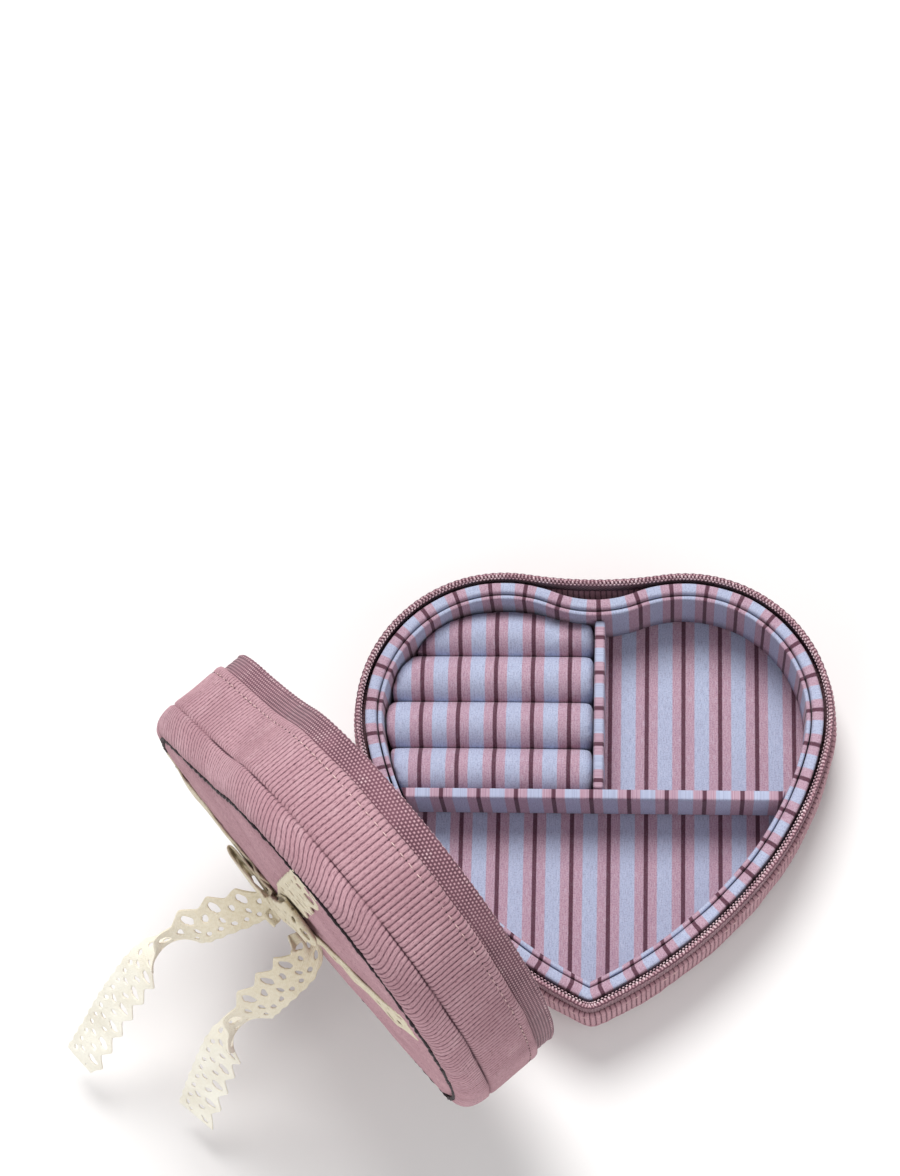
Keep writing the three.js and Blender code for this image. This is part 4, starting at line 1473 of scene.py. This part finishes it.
# %% Flat lace
LACE_WIDTH = 14 * MM
LACE_THICKNESS = 0.55 * MM
LACE_CELL = 0.55 * MM
SCALLOP_PITCH = 8.4 * MM
SCALLOP_DEPTH = 2.7 * MM
EDGE_WAVER = 0.25 * MM
FRAY_ZONE = 2.5 * MM
FRAY_DEPTH = 1.6 * MM

# One repeat's holes: place along the repeat and across the ribbon as shares, half length
# and half width, and lean.
LACE_HOLES = [
    (0.50, 0.68, 1.00 * MM, 1.70 * MM, 0.22),
    (0.98, 0.52, 0.60 * MM, 1.05 * MM, -0.30),
    (0.50, 0.36, 0.55 * MM, 0.85 * MM, 0.35),
    (0.20, 0.20, 0.85 * MM, 0.40 * MM, 0.00),
    (0.75, 0.20, 0.85 * MM, 0.40 * MM, 0.00),
]


def hole_depth(s, t, width):
    """How deep a point lies in the nearest hole: above 0 inside it."""
    deepest = -1.0
    for place, across, half_length, half_width, lean in LACE_HOLES:
        ds = (s / SCALLOP_PITCH - place + 0.5) % 1.0 - 0.5
        ds *= SCALLOP_PITCH
        dt = (t - across) * width
        ds -= dt * lean
        deepest = max(deepest, 1 - math.hypot(ds / half_length, dt / half_width))
    return deepest


def flat_lace(length, width, ragged, cell):
    """The cut ribbon on the floor: x along it, y across it from the straight side."""
    along_count = max(4, round(length / cell))
    across_count = round(width / cell)
    bm = bmesh.new()
    bmesh.ops.create_grid(bm, x_segments=along_count, y_segments=across_count, size=1.0)
    for vertex in bm.verts:
        s = (vertex.co.x + 1) / 2 * length
        t = (vertex.co.y + 1) / 2
        phase = (s / SCALLOP_PITCH) % 1.0
        scallop = SCALLOP_DEPTH * abs(2 * phase - 1) ** 0.85
        waver = EDGE_WAVER * math.sin(2 * math.pi * s / (SCALLOP_PITCH * 0.5)) * (1 - t)
        near_end = max(0.0, (s - length + FRAY_ZONE) / FRAY_ZONE)
        fray = ragged * FRAY_DEPTH * abs(math.sin(math.pi * t * 2.6)) * near_end
        vertex.co = (s + fray, t * (width - scallop) + waver, 0)
    holes = []
    for face in bm.faces:
        middle = face.calc_center_median()
        share = middle.y / width
        inside = 1.4 * MM < middle.x < length - 1.0 * MM
        if inside and hole_depth(middle.x, share, width) > 0:
            holes.append(face)
    bmesh.ops.delete(bm, geom=holes, context="FACES")
    edge = [v for v in bm.verts if v.is_boundary]
    for _ in range(3):
        bmesh.ops.smooth_vert(bm, verts=edge, factor=0.5, use_axis_x=True, use_axis_y=True)
    return bm


# %% Bend lace along a path
GATHER_RIPPLE = 1.1 * MM
LACE_WAVER = 0.5 * MM


def spline(points, share):
    """A smooth curve through points, at a share of its parameter."""
    spans = len(points) - 1
    place = min(max(share, 0.0), 1.0) * spans
    index = min(int(place), spans - 1)
    t = place - index
    p1, p2 = points[index], points[index + 1]
    p0 = points[index - 1] if index else p1 * 2 - p2
    p3 = points[index + 2] if index + 2 <= spans else p2 * 2 - p1
    return 0.5 * (2 * p1 + (p2 - p0) * t + (2 * p0 - 5 * p1 + 4 * p2 - p3) * t * t
                  + (3 * p1 - p0 - 3 * p2 + p3) * t ** 3)


def lace_path(points, samples=160):
    """Places along the curve, and how far along it each one lies."""
    dense = [spline(points, i / samples) for i in range(samples + 1)]
    reach = [0.0]
    for before, after in zip(dense, dense[1:]):
        reach.append(reach[-1] + (after - before).length)
    return dense, reach


def along_path(dense, reach, s):
    """The place and the direction at a distance along the curve."""
    index = min(int(np.searchsorted(reach, s, side="right")) - 1, len(dense) - 2)
    index = max(index, 0)
    span = reach[index + 1] - reach[index]
    place = dense[index].lerp(dense[index + 1], min((s - reach[index]) / span, 1.3))
    direction = (dense[index + 1] - dense[index]).normalized()
    return place, direction


def lace_ribbon(
    name, points, facing, width, gather, twist=None, move=None, ragged=0.0, cell=LACE_CELL,
):
    """A ribbon of lace along a curve. facing(share) is the side it shows, gather(share)
    narrows it and twist(share) turns it about the curve."""
    dense, reach = lace_path(points)
    length = reach[-1]
    bm = flat_lace(length, width, ragged, cell)
    _, u_layer, v_layer = cloth_layers(bm)
    for vertex in bm.verts:
        s, y = vertex.co.x, vertex.co.y
        share = s / length
        vertex[u_layer] = s
        vertex[v_layer] = y
        place, direction = along_path(dense, reach, s)
        front = facing(share)
        across = direction.cross(front).normalized()
        normal = across.cross(direction).normalized()
        angle = twist(share) if twist else 0.0
        across, normal = (across * math.cos(angle) + normal * math.sin(angle),
                          normal * math.cos(angle) - across * math.sin(angle))
        narrow = gather(share)
        off = (y - width / 2) * narrow
        ripple = GATHER_RIPPLE * (1 - narrow) * math.sin(y / width * 5 * math.pi)
        waver = LACE_WAVER * noise.noise(Vector((s / (9 * MM), y / (8 * MM), len(name) * 0.71)))
        vertex.co = place + across * off + normal * (ripple + waver)
    lay_uv(bm)
    area = sum(f.calc_area() for f in bm.faces)
    if move:
        bmesh.ops.transform(bm, matrix=move, verts=bm.verts)
    ribbon = mesh_object(name, bm)
    thick = ribbon.modifiers.new("thick", "SOLIDIFY")
    thick.thickness = LACE_THICKNESS
    thick.offset = 0
    rounder = ribbon.modifiers.new("rounder", "SUBSURF")
    rounder.levels = 1
    rounder.render_levels = 1
    apply_modifiers(ribbon)
    ribbon.data.shade_smooth()
    print(f"{name}: {length * 1000:.0f} mm long, {len(ribbon.data.polygons)} faces")
    return ribbon, length, area


# %% [markdown]
# ## The bow
#
# Straps of lace are sewn into the panel's seam and meet in the middle of the lid. The bow
# sits there: two loops, a knot over them and two tails that hang down beside the open lid.
# The loops and straps are shaped on the closed lid and turned with it.

# %% Straps and loops
STRAP_LIFT = 0.8 * MM
STRAP_WIDTH = 12 * MM
STRAP_CELL = 0.75 * MM
STRAP_ENDS = (("upper", 52.5 * MM, 41 * MM), ("lower", 48.5 * MM, -6 * MM))
LOOP_LIFT = 1.5 * MM
LOOP_TILT = math.radians(14)


def face_height(x, y):
    reach, _ = reach_from_bow(wall_outline, BORDER_INSET, np.array([x]), np.array([y]))
    return LID_TOP + LID_CROWN * float(1 - min(reach[0], 1.0) ** 2)


def on_face(x, y, lift):
    return Vector((x, y, face_height(x, y) + lift))


def upwards(share):
    return Vector((0, 0, 1))


def strap_gather(share):
    return 0.55 + 0.45 * min(1.0, share * 3)


for side_name, sign in (("right", 1), ("left", -1)):
    for end_name, end_x, end_y in STRAP_ENDS:
        start = Vector((0, BOW_Y))
        end = Vector((sign * end_x, end_y))
        path = [start.lerp(end, share) for share in (0.12, 0.4, 0.65, 0.85, 1.0)]
        points = [on_face(p.x, p.y, STRAP_LIFT) for p in path]
        points[-1].z -= 0.5 * MM
        label = f"lace_strap_{end_name}_{side_name}"
        strap, length, area = lace_ribbon(
            label + "_lace", points, upwards, STRAP_WIDTH, strap_gather, move=open_lid,
            cell=STRAP_CELL,
        )
        dress(strap, lace_shaded, "lid", "lace", label)


# Distance from the bow's middle and height over the face, in millimetres.
LOOP_PATH = [
    (4.8, 0.5), (9, 0.4), (16, 0), (21.5, 0.1), (24, 0.8),
    (21.5, 1.6), (16, 1.8), (9, 1.8), (4.8, 1.5),
]


def loop_points(sign):
    """A loop's path: out along the face, round its tip and back above."""
    points = []
    for distance, lift in LOOP_PATH:
        distance *= MM
        x = sign * math.cos(LOOP_TILT) * distance
        points.append(on_face(x, BOW_Y + math.sin(LOOP_TILT) * distance, LOOP_LIFT + lift * MM))
    return points


def loop_gather(share):
    return 0.42 + 0.58 * min(1.0, 4.5 * min(share, 1 - share))


for side_name, sign in (("right", 1), ("left", -1)):
    across_loop = Vector((-sign * math.sin(LOOP_TILT), math.cos(LOOP_TILT), 0))
    label = f"lace_loop_{side_name}"
    points = loop_points(sign)
    dense, reach = lace_path(points)

    def loop_facing(share, dense=dense, reach=reach, across_loop=across_loop):
        _, direction = along_path(dense, reach, share * reach[-1])
        return direction.cross(across_loop)

    loop, length, area = lace_ribbon(
        label + "_lace", points, loop_facing, LACE_WIDTH, loop_gather, move=open_lid,
    )
    dress(loop, lace_shaded, "lid", "lace", label)

# %% Knot
KNOT_LENGTH = 9 * MM
KNOT_WIDTH = 11 * MM
KNOT_DEPTH = 2.6 * MM
KNOT_LIFT = 1.4 * MM
KNOT_FULLNESS = (1.12, 0.94, 0.92)
knot_middle = Vector((0, BOW_Y, LID_TOP + LID_CROWN + KNOT_LIFT + KNOT_DEPTH / 2))
full_x, full_y, full_z = KNOT_FULLNESS
bm = bmesh.new()
bmesh.ops.create_uvsphere(bm, u_segments=72, v_segments=36, radius=0.5)
for vertex in bm.verts:
    x, y, z = vertex.co
    pleat = 0.035 * math.cos(8 * math.pi * x) * (1 - 2 * abs(y))
    wrinkle = 0.05 * noise.noise(Vector((x * 3, y * 7, z * 3 + 4)))
    swell = 1 + pleat + wrinkle
    waist = 1 - 0.12 * (1 - (2 * abs(x)) ** 2)
    vertex.co = (
        x * KNOT_LENGTH * full_x,
        y * KNOT_WIDTH * full_y * waist * swell,
        z * KNOT_DEPTH * full_z * swell,
    )
bmesh.ops.translate(bm, vec=knot_middle, verts=bm.verts)
_, u_layer, v_layer = cloth_layers(bm)
for vertex in bm.verts:
    vertex[u_layer] = vertex.co.x
    vertex[v_layer] = vertex.co.y
lay_uv(bm)
bmesh.ops.transform(bm, matrix=open_lid, verts=bm.verts)
knot = mesh_object("lace_knot_wrap", bm)
dress(knot, lace_shaded, "lid", "lace", "lace_knot")
print("knot:", len(knot.data.polygons), "faces")

# %% Tails
# Places along the hinge, out from the wall and above the table, in millimetres.
TAIL_ONE = [
    (-12, 35.8, 79.6), (-19.2, 37.5, 77.6), (-29.8, 58.1, 64), (-33, 76.2, 42), (-33.5, 98.5, 12),
]
TAIL_TWO = [
    (-7, 35.8, 81), (-1.5, 38, 78), (-4, 55.9, 60), (-4.8, 68.4, 38), (-2.5, 83.8, 12),
]
TAIL_WIDTH = 12.6 * MM
TURN_SPREAD = 0.16


def to_viewer(share):
    return backward


def half_turn(middle, start):
    """A twist that turns the ribbon over around one place on the tail."""
    def twist(share):
        step = rise(share, middle - TURN_SPREAD, middle + TURN_SPREAD)
        return start + (math.pi - 2 * start) * float(step)
    return twist


def tail_gather(share):
    return 0.5 + 0.5 * min(1.0, share * 7)


# The tails go from painted shade near the knot to painted light, ivory, at their ends.
lace_shade_to_light = cotton_lace("tail lace, painted shade to light", srgb(218, 205, 176), srgb(250, 246, 232), 70 * MM)
tails = (
    ("one", TAIL_ONE, half_turn(0.42, 0.35)),
    ("two", TAIL_TWO, half_turn(0.5, 0.3)),
)
for number, points, twist in tails:
    path = [from_hinge(*(value * MM for value in point)) for point in points]
    tail, length, area = lace_ribbon(
        f"lace_tail_{number}_lace", path, to_viewer, TAIL_WIDTH, tail_gather, twist, ragged=1.0,
    )
    dress(tail, lace_shade_to_light, "lid", "lace", f"lace_tail_{number}")
    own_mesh(tail)
